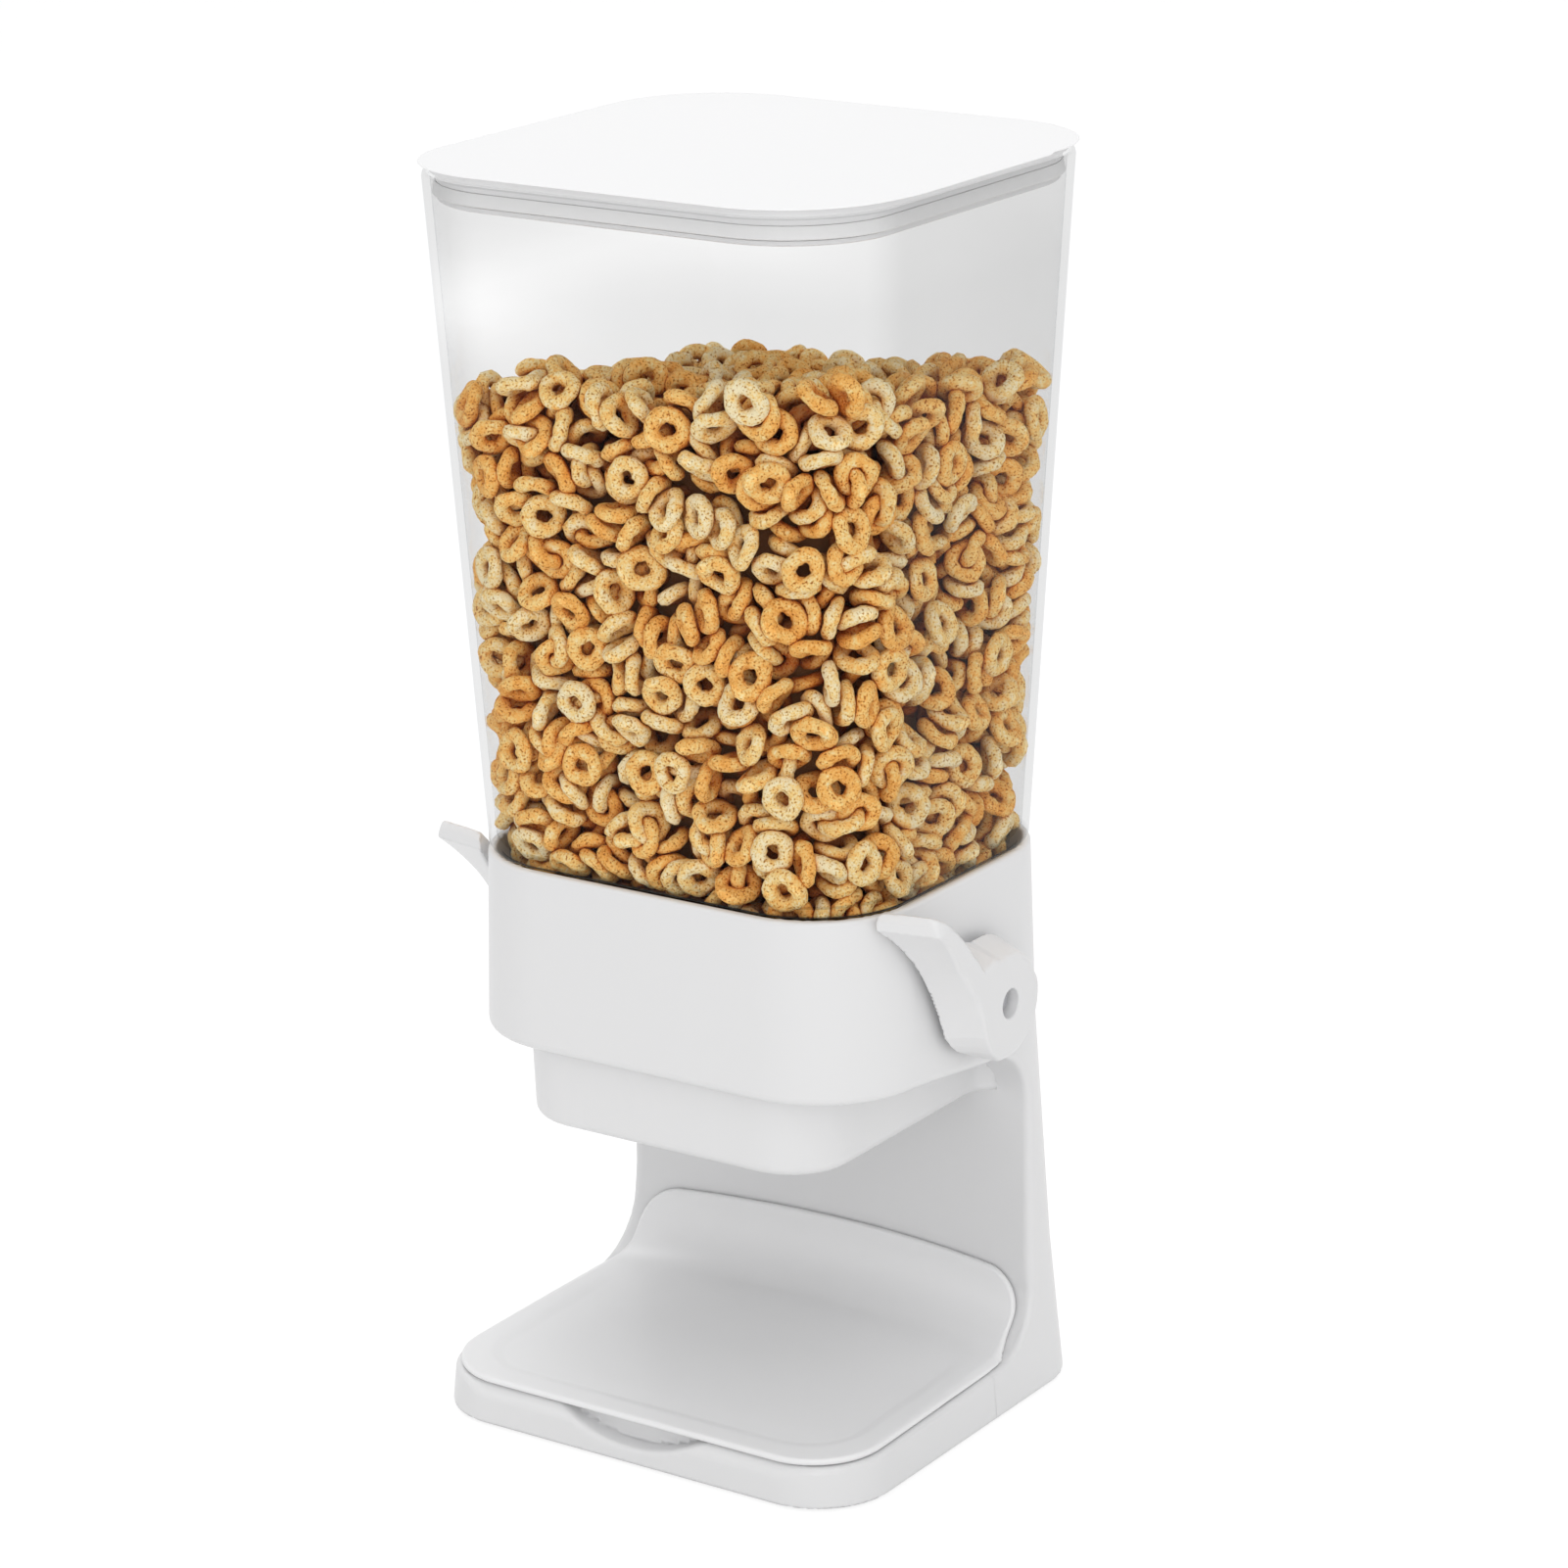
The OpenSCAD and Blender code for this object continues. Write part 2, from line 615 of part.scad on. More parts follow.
module bushing() {
    color(pale) difference() {
        union() {
            bar_x(bearing_x, pivot_hx + 0.4, pivot_y, pivot_z, bearing_r);
            bar_x(pivot_hx + 0.4, hub_x - 0.3, pivot_y, pivot_z, bearing_r + 2);
        }
        bar_x(bearing_x - 1, hub_x + 1, pivot_y, pivot_z, shaft_r + shaft_fit);
    }
}

module lever_screws() {
    color(steel) for (s = [0, 1]) mirror([s, 0, 0])
        translate([hub_x + hub_w - recess_h + 1.6, pivot_y, pivot_z]) rotate([0, -90, 0])
            screw(3.4, 1.6, screw_r - 0.05, 10);
}

gate_a = 19.5;                       // half angle that the closed gate covers
module gate() {
    outer = gate_r + gate_t;
    color(white) {
        difference() {
            union() {
                // curved plate
                along_x(-arm_x - arm_t, arm_x + arm_t) sector(gate_r, outer, gate_a);
                for (s = [0, 1]) mirror([s, 0, 0]) {
                    along_x(arm_x, arm_x + arm_t) {
                        sector(0, gate_r + gate_t / 2, arm_a);
                        translate([pivot_y, pivot_z]) circle(boss_r, $fn = 48);
                    }
                    bar_x(arm_x, boss_x, pivot_y, pivot_z, boss_r);
                }
            }
            for (s = [0, 1]) mirror([s, 0, 0]) {
                key_bar(arm_x + 2 - slip, boss_x + 1, slip);
                bar_x(boss_x - leg - 0.5, boss_x + 1, pivot_y + coil_r, pivot_z, wire_r + slip, 16);
            }
        }
    }
}

// Ring sector hanging under the pivot, in Y and Z
module sector(r0, r1, a) {
    n = 12;
    translate([pivot_y, pivot_z]) difference() {
        intersection() {
            circle(r1, $fn = 96);
            polygon([[0, 0], [-2 * r1 * sin(a), -2 * r1 * cos(a)], [2 * r1 * sin(a), -2 * r1 * cos(a)]]);
        }
        if (r0 > 0) circle(r0, $fn = 96);
    }
}

// Torsion spring round the shaft: round wire in three turns, each end bent
// along X into a hole
coil_turns = 3;
coil_step = 16;                      // rings in a turn
wire_n = 6;
coil_x = boss_x + 0.3 + wire_r;
coil_pitch = (bearing_x - 0.3 - wire_r - coil_x) / coil_turns;
function ring(c, u, v) = [for (k = [0:wire_n - 1])
    let (a = 360 * k / wire_n) c + wire_r * (cos(a) * u + sin(a) * v)];
function leg_ring(x) = ring([x, pivot_y + coil_r, pivot_z], [0, 1, 0], [0, 0, 1]);
function coil_ring(a) = ring([coil_x + coil_pitch * a / 360, pivot_y + coil_r * cos(a),
    pivot_z + coil_r * sin(a)], [0, cos(a), sin(a)], [-1, 0, 0]);

module spring() {
    loft(concat([leg_ring(boss_x - leg)], [leg_ring(coil_x - 0.5)],
        [for (i = [1:coil_turns * coil_step - 1]) coil_ring(360 * i / coil_step)],
        [leg_ring(bearing_x - 0.5)], [leg_ring(bearing_x + leg)]));
}

module return_springs() {
    color(steel) for (s = [0, 1]) mirror([s, 0, 0]) spring();
}

module stop_sleeves() {
    color(rubber) for (s = [0, 1], a = stop_angles) mirror([s, 0, 0]) difference() {
        bar_x(arm_x - 0.2, stop_out, stop_y(a), stop_z(a), stop_r, 32);
        bar_x(arm_x - 1, stop_out + 1, stop_y(a), stop_z(a), stop_pin, 24);
    }
}

// ---- Hopper, lid and tray --------------------------------------------------

module hopper() {
    shoulder = foot_z + hopper_wall;
    neck_z = rim_z - neck_h + seat;
    color(clear) difference() {
        union() {
            loft([hopper_at(foot_z, 0), hopper_at(mouth_z, 0)]);
            loft([neck_at(neck_z, 0), neck_at(shoulder, 0)]);
        }
        loft([hopper_at(shoulder, hopper_wall), hopper_at(mouth_z, hopper_wall),
              moved(hopper_at(mouth_z, hopper_wall), mouth_z + 1)]);
        loft([neck_at(neck_z - 1, hopper_wall), neck_at(shoulder + 1, hopper_wall)]);
    }
}

plug_gap = 1.5;                      // air between the plug and the hopper wall
plug_wall = 2;
tab_y = [-38, 36];                   // finger tab along the right edge
tab_out = 1.6;
module lid() {
    edge = mouth_h + lid_overhang;
    color(white) difference() {
        union() {
            loft([moved(hopper_at(mouth_z, -lid_overhang + 0.6), lid_z),
                  moved(hopper_at(mouth_z, -lid_overhang), lid_z + 0.7),
                  moved(hopper_at(mouth_z, -lid_overhang), total_h - 0.7),
                  moved(hopper_at(mouth_z, -lid_overhang + 0.7), total_h)]);
            linear_extrude_at(lid_z, lid_t - 0.8) polygon([
                [edge - 8, tab_y[0] - 9], [edge, tab_y[0] - 9], [edge + tab_out, tab_y[0] + 2],
                [edge + tab_out, tab_y[1] - 2], [edge + tab_out - 0.6, tab_y[1]],
                [edge - 8, tab_y[1]]]);
            loft([hopper_at(lid_z - plug_h, hopper_wall + plug_gap),
                  hopper_at(lid_z + 0.5, hopper_wall + plug_gap)]);
        }
        loft([hopper_at(lid_z - plug_h - 1, hopper_wall + plug_gap + plug_wall),
              hopper_at(lid_z, hopper_wall + plug_gap + plug_wall)]);
        // groove for the seal
        difference() {
            loft([hopper_at(seal_z, 0), hopper_at(seal_z + seal_h, 0)]);
            loft([hopper_at(seal_z - 1, hopper_wall + plug_gap + 0.9),
                  hopper_at(seal_z + seal_h + 1, hopper_wall + plug_gap + 0.9)]);
        }
    }
}

seal_h = 4;
seal_z = lid_z - 9;
module lid_seal() {
    out = hopper_wall + 0.3;
    color(pale) difference() {
        loft([for (v = [[0.1, 0.8], [0.7, 0], [1.3, 0.8], [2.6, 0.8], [3.2, 0], [seal_h - 0.1, 0.8]])
            hopper_at(seal_z + v.x, out + v.y)]);
        loft([for (v = [-1, 0.1, seal_h - 0.1, seal_h + 1])
            hopper_at(seal_z + v, hopper_wall + plug_gap + 0.9)]);
    }
}

tray_in = 1.4;                       // the tray's edge is this far inside the foot
tray_corner = 16;
module tray() {
    color(pale) difference() {
        intersection() {
            bay(-seat);
            linear_extrude_at(0, tray_top)
                polygon([for (p = stand_at(base_h, tray_in)) [p.x, p.y]]);
            // rounded corners of the back edge, cut square to the column
            translate([0, far, 0]) rotate([90, 0, 0]) linear_extrude(2 * far) tray_back();
        }
        bay(-seat - tray_t);
        // dished middle
        intersection() {
            bay(-seat - tray_t + dish);
            linear_extrude_at(0, tray_top)
                polygon([for (p = outline(base_w / 2 - 12, base_front - 11, column_y - sweep_r - 6, 16, 0))
                    [p.x, p.y]]);
        }
    }
}

module tray_back() {
    hx = base_w / 2;
    r = tray_corner;
    edge = rim_hx - 2;
    union() {
        translate([-hx, 0]) square([2 * hx, tray_top - r - 6]);
        translate([-edge + r, 0]) square([2 * (edge - r), tray_top]);
        for (s = [-1, 1]) translate([s * (edge - r), tray_top - r]) circle(r, $fn = 64);
        translate([-edge, 0]) square([2 * edge, tray_top - r]);
    }
}

// ---- What is drawn ---------------------------------------------------------

stand_shell();
base_front_part();  // base_front
bottom_plate();
rubber_feet();
base_screws();
chute();
chute_screws();
funnel();
outlet_wiper();
hopper_gasket();
mirror([1, 0, 0]) bushing();  // bushing_left
bushing();  // bushing_right
return_springs();
stop_sleeves();
mirror([1, 0, 0]) lever();  // lever_left
lever();  // lever_right
lever_screws();
mirror([1, 0, 0]) shaft();  // shaft_left
shaft();  // shaft_right
gate();
hopper();
lid();
lid_seal();
tray();
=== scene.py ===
"""Cereal dispenser: the looks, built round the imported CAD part.

Lengths in the shape functions are millimetres; meshes are made in metres.
"""

import json
import math

import bpy
import numpy as np
from mathutils import Matrix, Vector


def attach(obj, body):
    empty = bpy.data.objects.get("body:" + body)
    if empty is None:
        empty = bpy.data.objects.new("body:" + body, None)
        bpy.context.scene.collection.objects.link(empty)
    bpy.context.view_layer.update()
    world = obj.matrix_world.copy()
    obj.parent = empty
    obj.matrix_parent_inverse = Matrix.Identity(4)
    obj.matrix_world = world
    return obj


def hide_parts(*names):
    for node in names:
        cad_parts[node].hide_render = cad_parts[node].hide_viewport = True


MM = 0.001
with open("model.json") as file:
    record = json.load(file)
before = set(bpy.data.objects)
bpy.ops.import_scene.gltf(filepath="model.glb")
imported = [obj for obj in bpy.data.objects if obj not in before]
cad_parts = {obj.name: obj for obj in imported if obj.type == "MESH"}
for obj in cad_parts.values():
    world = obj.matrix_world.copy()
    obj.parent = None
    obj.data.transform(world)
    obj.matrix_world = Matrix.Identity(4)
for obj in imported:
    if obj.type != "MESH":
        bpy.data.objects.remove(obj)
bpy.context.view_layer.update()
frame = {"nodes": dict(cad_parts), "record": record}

# ---- Sizes, the same as the CAD's ------------------------------------------

TOTAL_H, RIM_Z = 385.0, 176.0
MOUTH_H, SIDE_DRAFT, FRONT_DRAFT, BACK_DRAFT = 78.0, 6.2, 16.5, 17.5
MOUTH_R, FOOT_R, HOPPER_WALL = 36.0, 33.0, 2.4
NECK_H, NECK_STEP = 9.0, 3.4
LID_T, OVERHANG, PLUG_GAP, PLUG_WALL = 2.6, 0.9, 1.5, 2.0
TAB_Y, TAB_OUT, TAB_LEAD, TAB_RISE, TAB_FALL = (-38.0, 36.0), 1.6, 9, 11, 2.0
BASE_W, BASE_FRONT, BASE_BACK, BASE_H, BASE_FALL = 154.2, 75.5, 66.6, 15.0, 2.0
WALL, UNDER_Z, COLUMN_Y, COLUMN_R, SWEEP_R = 2.6, 119.8, 44.8, 255.0, 20.0
PIVOT_Y, PIVOT_Z, HUB_R, HUB_W = 1.5, 139.5, 17.6, 11.2
TRAY_T, TRAY_TOP, TRAY_IN, TRAY_CORNER, DISH = 2.2, 38.0, 1.4, 16.0, 1.0
CHUTE_HX, CHUTE_FRONT, CHUTE_Z, CHUTE_WALL, CHUTE_R = 54.4, 56.0, 94.0, 2.2, 19.8
SEAT, GROUND = 0.3, 0.8
LID_Z = TOTAL_H - LID_T
MOUTH_Z = LID_Z - SEAT
FOOT_Z = RIM_Z + SEAT
UNDER_BACK_Z = UNDER_Z - 5.3
FLOOR_Z = UNDER_Z + 2.8
SAG = COLUMN_R - math.sqrt(COLUMN_R ** 2 - BASE_W ** 2 / 4)
SWEEP_Y = COLUMN_Y - SWEEP_R - SAG - 0.3
RIM_HX, RIM_FRONT, RIM_BACK = (MOUTH_H - d + 0.5 for d in (SIDE_DRAFT, FRONT_DRAFT, BACK_DRAFT))
HOUSING_R = FOOT_R + 0.5
LEVELS = [GROUND, BASE_H, 45, UNDER_Z, RIM_Z - 1.4, RIM_Z]
STAND_HX = [BASE_W / 2, BASE_W / 2 - 1.2, RIM_HX + 2.1, RIM_HX + 1.5, RIM_HX, RIM_HX]
STAND_FRONT = [BASE_FRONT, BASE_FRONT - 0.5, BASE_FRONT - 5, RIM_FRONT + 0.6, RIM_FRONT, RIM_FRONT]
STAND_BACK = [BASE_BACK, BASE_BACK - 0.4, BASE_BACK - 1.6, RIM_BACK + 1, RIM_BACK, RIM_BACK]
STAND_R = [24, 24.5, 27, HOUSING_R + 0.5, HOUSING_R, HOUSING_R]

# ---- Sizes that follow the photo more closely than the CAD does -------------

SHOWN_CORNER = 13.0  # the tray's upper corners
SHOWN_PLUG, SEAL_HIGH, SEAL_LOW = 8.6, 2.9, 6.7  # the plug and its seal, below the lid's plate
CHUTE_FAN = 9.0  # radius of the sweep from the chute's sides to the column
HUB_SWELL, HUB_SLOPE = 1.3, 0.36  # the hub's top is fuller by one, less the other per mm out

# ---- Solids as distance functions, and their skins -------------------------


def cut_round(a, b, r):
    """Where both a and b are inside, with the edge between them rounded to r."""
    return np.minimum(np.maximum(a, b), -r) + np.hypot(np.maximum(a + r, 0), np.maximum(b + r, 0))


def join_round(a, b, r):
    """Where a or b is inside, with the corner between them filled to r."""
    return -cut_round(-a, -b, r)


def rounded_box(x, y, hx, front, back, r):
    """Distance to an outline with round corners, from -front to back along Y."""
    qx = np.abs(x) - (hx - r)
    qy = np.abs(y - (back - front) / 2) - ((back + front) / 2 - r)
    return np.minimum(np.maximum(qx, qy), 0) + np.hypot(np.maximum(qx, 0), np.maximum(qy, 0)) - r


def stand_outline(x, y, z):
    """Distance to the stand's outside, level by level."""
    return rounded_box(x, y, *(np.interp(z, LEVELS, v) for v in (STAND_HX, STAND_FRONT, STAND_BACK, STAND_R)))


def bay(x, y, z):
    """The open front of the stand: negative inside."""
    r = np.hypot(x, y - (COLUMN_Y - COLUMN_R)) - COLUMN_R
    low = BASE_H - BASE_FALL * np.clip((SWEEP_Y - y) / (SWEEP_Y + BASE_FRONT), 0, 1)
    high = UNDER_BACK_Z + (UNDER_Z - UNDER_BACK_Z) * np.clip((SWEEP_Y - y) / (SWEEP_Y + 30), 0, 1)
    return cut_round(cut_round(r, low - z, SWEEP_R), z - high, SWEEP_R)


def about_pivot(y, z, r):
    """Distance to a cylinder of radius r about the lever's pivot."""
    return np.hypot(y - PIVOT_Y, z - PIVOT_Z) - r


def smooth(t):
    """0 below 0, 1 above 1, and a soft rise between."""
    t = np.clip(t, 0, 1)
    return t * t * (3 - 2 * t)


def skin(name, solid, low, high, step):
    """Closed smooth mesh of a distance function, by surface nets pulled onto the surface."""
    axes = [np.arange(a - 2 * step, b + 3 * step, step) for a, b in zip(low, high)]
    value = solid(*np.meshgrid(*axes, indexing="ij"))
    inside = value < 0
    where, number = net_points(value, inside)
    points = np.array(low) - 2 * step + step * where
    for _ in range(4):
        v, g = gradient(solid, points, step * 0.25)
        pull = np.clip(v / np.maximum((g ** 2).sum(1), 1e-6), -0.4 * step, 0.4 * step)
        points = points - pull[:, None] * g
    g = gradient(solid, points, step * 0.25)[1]
    normals = g / np.maximum(np.linalg.norm(g, axis=1), 1e-9)[:, None]
    return mesh_piece(name, points, net_faces(inside, number), normals)


def net_points(value, inside):
    """A point in each grid cell that the surface crosses, in cells, and each cell's number or -1."""
    shape = value.shape
    count = np.zeros([n - 1 for n in shape], np.int8)
    total = np.zeros(count.shape + (3,))
    corner = [(i, j, k) for i in (0, 1) for j in (0, 1) for k in (0, 1)]

    def part(a, c):
        """The values at corner c of every cell."""
        return a[tuple(slice(c[d], shape[d] - 1 + c[d]) for d in range(3))]

    for c in corner:
        for d in range(3):
            if c[d]:
                continue
            e = tuple(1 if i == d else c[i] for i in range(3))
            va, vb = part(value, c), part(value, e)
            cross = part(inside, c) != part(inside, e)
            t = np.where(cross, va / np.where(cross, va - vb, 1), 0)
            for i in range(3):
                total[..., i] += cross * (c[i] + (t if i == d else 0))
            count += cross
    active = count > 0
    number = np.full(count.shape, -1)
    number[active] = np.arange(active.sum())
    return np.argwhere(active) + total[active] / count[active][:, None], number


def net_faces(inside, number):
    """A quad for each grid edge with one end inside and the other outside, facing out."""
    shape = inside.shape
    faces = []
    for d in range(3):
        u, w = (d + 1) % 3, (d + 2) % 3
        a = [slice(1, n - 1) for n in shape]
        a[d] = slice(0, shape[d] - 1)
        b = list(a)
        b[d] = slice(1, shape[d])
        first, second = inside[tuple(a)], inside[tuple(b)]
        cells = np.argwhere(first != second)
        if len(cells) == 0:
            continue
        out = first[tuple(cells.T)]
        cells = cells + [0 if i == d else 1 for i in range(3)]
        quad = []
        for du, dw in ((0, 0), (-1, 0), (-1, -1), (0, -1)):
            n = cells.copy()
            n[:, u] += du
            n[:, w] += dw
            quad.append(number[tuple(n.T)])
        quad = np.stack(quad, 1)
        quad[~out] = quad[~out][:, ::-1]
        faces.append(quad)
    return np.concatenate(faces)


def gradient(solid, points, h):
    """The values of a distance function at points, and its slopes along X, Y and Z."""
    x, y, z = points.T
    g = [solid(x + h, y, z) - solid(x - h, y, z), solid(x, y + h, z) - solid(x, y - h, z),
         solid(x, y, z + h) - solid(x, y, z - h)]
    return solid(x, y, z), np.stack(g, 1) / (2 * h)


def mesh_piece(name, points, faces, normals=None):
    """An object from points in millimetres, shaded smooth."""
    mesh = bpy.data.meshes.new(name)
    mesh.from_pydata((np.asarray(points) * MM).tolist(), [], [list(map(int, f)) for f in faces])
    mesh.polygons.foreach_set("use_smooth", [True] * len(mesh.polygons))
    mesh.update()
    if normals is not None:
        mesh.normals_split_custom_set_from_vertices(np.asarray(normals).tolist())
    piece = bpy.data.objects.new(name, mesh)
    bpy.context.scene.collection.objects.link(piece)
    return piece


def vertices(piece):
    """The points of a piece's mesh, in millimetres."""
    co = np.empty(len(piece.data.vertices) * 3)
    piece.data.vertices.foreach_get("co", co)
    return co.reshape(-1, 3) / MM


def paint_points(piece, **layers):
    """Stores one value for each point of the mesh, for the materials to read."""
    for key, value in layers.items():
        layer = piece.data.attributes.new(key, "FLOAT", "POINT")
        layer.data.foreach_set("value", value.astype(np.float32))


# ---- Skins through stacks of outlines --------------------------------------

ARC_STEPS, SIDE_STEPS = 16, 20  # steps in a corner and along a side


def outline(hx, front, back, r, tab=0.0):
    """Points of a rounded outline, anticlockwise from above, with points along the straight sides."""
    points = []
    corners = [(hx - r, back - r, 0), (r - hx, back - r, 90),
               (r - hx, r - front, 180), (hx - r, r - front, 270)]
    for k, (cx, cy, a0) in enumerate(corners):
        for i in range(ARC_STEPS + 1):
            a = math.radians(a0 + 90 * i / ARC_STEPS)
            points.append([cx + r * math.cos(a), cy + r * math.sin(a)])
        nx, ny, _ = corners[(k + 1) % 4]
        a = math.radians(a0 + 90)
        for i in range(1, SIDE_STEPS):
            t = i / SIDE_STEPS
            points.append([cx + (nx - cx) * t + r * math.cos(a), cy + (ny - cy) * t + r * math.sin(a)])
    points = np.array(points)
    if tab:
        right = points[:, 0] > hx - 1
        rise = np.clip((points[:, 1] - TAB_Y[0] + TAB_LEAD) / TAB_RISE, 0, 1)
        fall = np.clip((TAB_Y[1] - points[:, 1]) / TAB_FALL, 0, 1)
        points[:, 0] += right * tab * (rise * fall)
    return points


def hopper_outline(z, inset, tab=0.0):
    """The hopper's outside at height z, or this far inside it; the tab is the lid's finger tab."""
    k = (MOUTH_Z - min(z, MOUTH_Z)) / (MOUTH_Z - FOOT_Z)
    return outline(MOUTH_H - k * SIDE_DRAFT - inset, MOUTH_H - k * FRONT_DRAFT - inset,
                   MOUTH_H - k * BACK_DRAFT - inset, MOUTH_R + k * (FOOT_R - MOUTH_R) - inset, tab)


def neck_outline(inset):
    """The neck under the hopper, or this far inside it."""
    return outline(MOUTH_H - SIDE_DRAFT - NECK_STEP - inset, MOUTH_H - FRONT_DRAFT - NECK_STEP - inset,
                   MOUTH_H - BACK_DRAFT - NECK_STEP - inset, FOOT_R - NECK_STEP - inset)


def stack(name, rings, closed=False, sharp=32):
    """A skin through rings of (outline, z). A closed one joins its last ring to its first.

    Others are capped.
    """
    n = len(rings[0][0])
    points = np.concatenate([np.column_stack([p, np.full(n, z)]) for p, z in rings])
    faces = []
    m = len(rings)
    for k in range(m if closed else m - 1):
        a, b = k * n, ((k + 1) % m) * n
        faces += [(a + i, a + (i + 1) % n, b + (i + 1) % n, b + i) for i in range(n)]
    if not closed:
        faces += [tuple(reversed(range(n))), tuple(range((m - 1) * n, m * n))]
    piece = mesh_piece(name, points, faces)
    piece.data.set_sharp_from_angle(angle=math.radians(sharp))
    return piece


# ---- Materials -------------------------------------------------------------

MIX_A, MIX_B, MIX_RESULT = 6, 7, 2  # the sockets that a Mix node of colours uses


def shader(name, color, roughness, **sockets):
    """A new material: its node tree and its Principled shader."""
    m = bpy.data.materials.new(name)
    m.use_nodes = True
    tree = m.node_tree
    bsdf = tree.nodes["Principled BSDF"]
    bsdf.inputs["Base Color"].default_value = (*color, 1)
    bsdf.inputs["Roughness"].default_value = roughness
    for key, value in sockets.items():
        bsdf.inputs[key.replace("_", " ")].default_value = value
    return m, tree, bsdf


def add(tree, kind, links=(), **values):
    """A new node. A value sets the input of that name, or else the setting; a link is (output, input)."""
    node = tree.nodes.new(kind)
    for key, value in values.items():
        if key in node.inputs:
            node.inputs[key].default_value = value
        else:
            setattr(node, key, value)
    for source, socket in links:
        tree.links.new(source, node.inputs[socket])
    return node


def place(tree, scale):
    """Noise coordinates in metres, fixed to the piece."""
    coords = tree.nodes.new("ShaderNodeTexCoord")
    return add(tree, "ShaderNodeMapping", [(coords.outputs["Object"], "Vector")], Scale=(scale,) * 3)


def grain(tree, bsdf, scale, height, rough=None):
    """Fine moulded texture as a bump, and a little variation in the gloss."""
    spot = place(tree, scale)
    noise = add(tree, "ShaderNodeTexNoise", [(spot.outputs[0], "Vector")], Scale=1.0, Detail=3.0)
    bump = add(tree, "ShaderNodeBump", [(noise.outputs[0], "Height")], Strength=0.35, Distance=height)
    tree.links.new(bump.outputs[0], bsdf.inputs["Normal"])
    if rough:
        spread = add(tree, "ShaderNodeMapRange", [(noise.outputs[0], "Value")])
        spread.inputs["To Min"].default_value = rough[0]
        spread.inputs["To Max"].default_value = rough[1]
        tree.links.new(spread.outputs[0], bsdf.inputs["Roughness"])


def white_plastic(name="white_plastic", color=(0.74, 0.74, 0.745), rough=(0.30, 0.38)):
    """Moulded plastic in a white, with a gloss that varies between two roughnesses."""
    m, tree, bsdf = shader(name, color, 0.34, IOR=1.46)
    grain(tree, bsdf, 900, 0.00002, rough)
    return m


def clear_plastic():
    """Clear walls: light goes straight through, a little is lost, more at a slant, and some is mirrored."""
    m, tree, bsdf = shader("clear_plastic", (1, 1, 1), 0.03, IOR=1.49)
    # through carries the painted light and shade of clear_walls: a paler band, shade at the right and a
    # contact shadow at the foot.
    through = add(tree, "ShaderNodeAttribute", attribute_name="through")
    outside = add(tree, "ShaderNodeAttribute", attribute_name="outside")
    geometry = tree.nodes.new("ShaderNodeNewGeometry")
    front = add(tree, "ShaderNodeMath", [(geometry.outputs["Backfacing"], 1)], operation="SUBTRACT")
    front.inputs[0].default_value = 1.0
    facing = add(tree, "ShaderNodeLayerWeight", Blend=0.5)
    slant = add(tree, "ShaderNodeValToRGB", [(facing.outputs["Facing"], 0)])
    paint(slant, [(0.2, (1, 1, 1)), (0.47, (0.88,) * 3), (0.75, (0.86,) * 3), (0.97, (0.74,) * 3)])
    lit_side = add(tree, "ShaderNodeMath", [(outside.outputs["Fac"], 0), (front.outputs[0], 1)],
                   operation="MULTIPLY")
    loss = add(tree, "ShaderNodeMix", [(lit_side.outputs[0], 0), (slant.outputs[0], MIX_B)], data_type="RGBA")
    loss.inputs[MIX_A].default_value = (1, 1, 1, 1)
    tint = multiply(tree, through.outputs["Color"], loss.outputs[MIX_RESULT])
    path = tree.nodes.new("ShaderNodeLightPath")
    light_ray = add(tree, "ShaderNodeMath",
                    [(path.outputs["Is Shadow Ray"], 0), (path.outputs["Is Diffuse Ray"], 1)],
                    operation="MAXIMUM")
    shown = add(tree, "ShaderNodeMix", [(light_ray.outputs[0], 0), (tint, MIX_A)], data_type="RGBA")
    shown.inputs[MIX_B].default_value = (1, 1, 1, 1)
    clear = add(tree, "ShaderNodeBsdfTransparent", [(shown.outputs[MIX_RESULT], 0)])
    gloss = add(tree, "ShaderNodeBsdfGlossy", Color=(0.93, 0.94, 0.95, 1), Roughness=0.03)
    fresnel = add(tree, "ShaderNodeFresnel", IOR=1.14)
    mirror = add(tree, "ShaderNodeMath", [(fresnel.outputs[0], 0), (front.outputs[0], 1)],
                 operation="MULTIPLY")
    mix = add(tree, "ShaderNodeMixShader",
              [(mirror.outputs[0], 0), (clear.outputs[0], 1), (gloss.outputs[0], 2)])
    tree.links.new(mix.outputs[0], tree.nodes["Material Output"].inputs["Surface"])
    tree.nodes.remove(bsdf)
    return m


def silicone():
    """Soft pale rubber of the seal, the gasket and the wiper."""
    m, tree, bsdf = shader("seal_silicone", (0.80, 0.80, 0.80), 0.45, IOR=1.41)
    grain(tree, bsdf, 1500, 0.00002)
    return m


def grey_rubber():
    """Matt rubber of the feet and the stop sleeves."""
    m, tree, bsdf = shader("grey_rubber", (0.09, 0.09, 0.095), 0.75)
    grain(tree, bsdf, 2500, 0.00005)
    return m


def steel():
    """Steel of the screws and springs."""
    m, tree, bsdf = shader("steel", (0.62, 0.62, 0.64), 0.28, Metallic=1.0)
    grain(tree, bsdf, 1800, 0.00002, (0.22, 0.36))
    return m


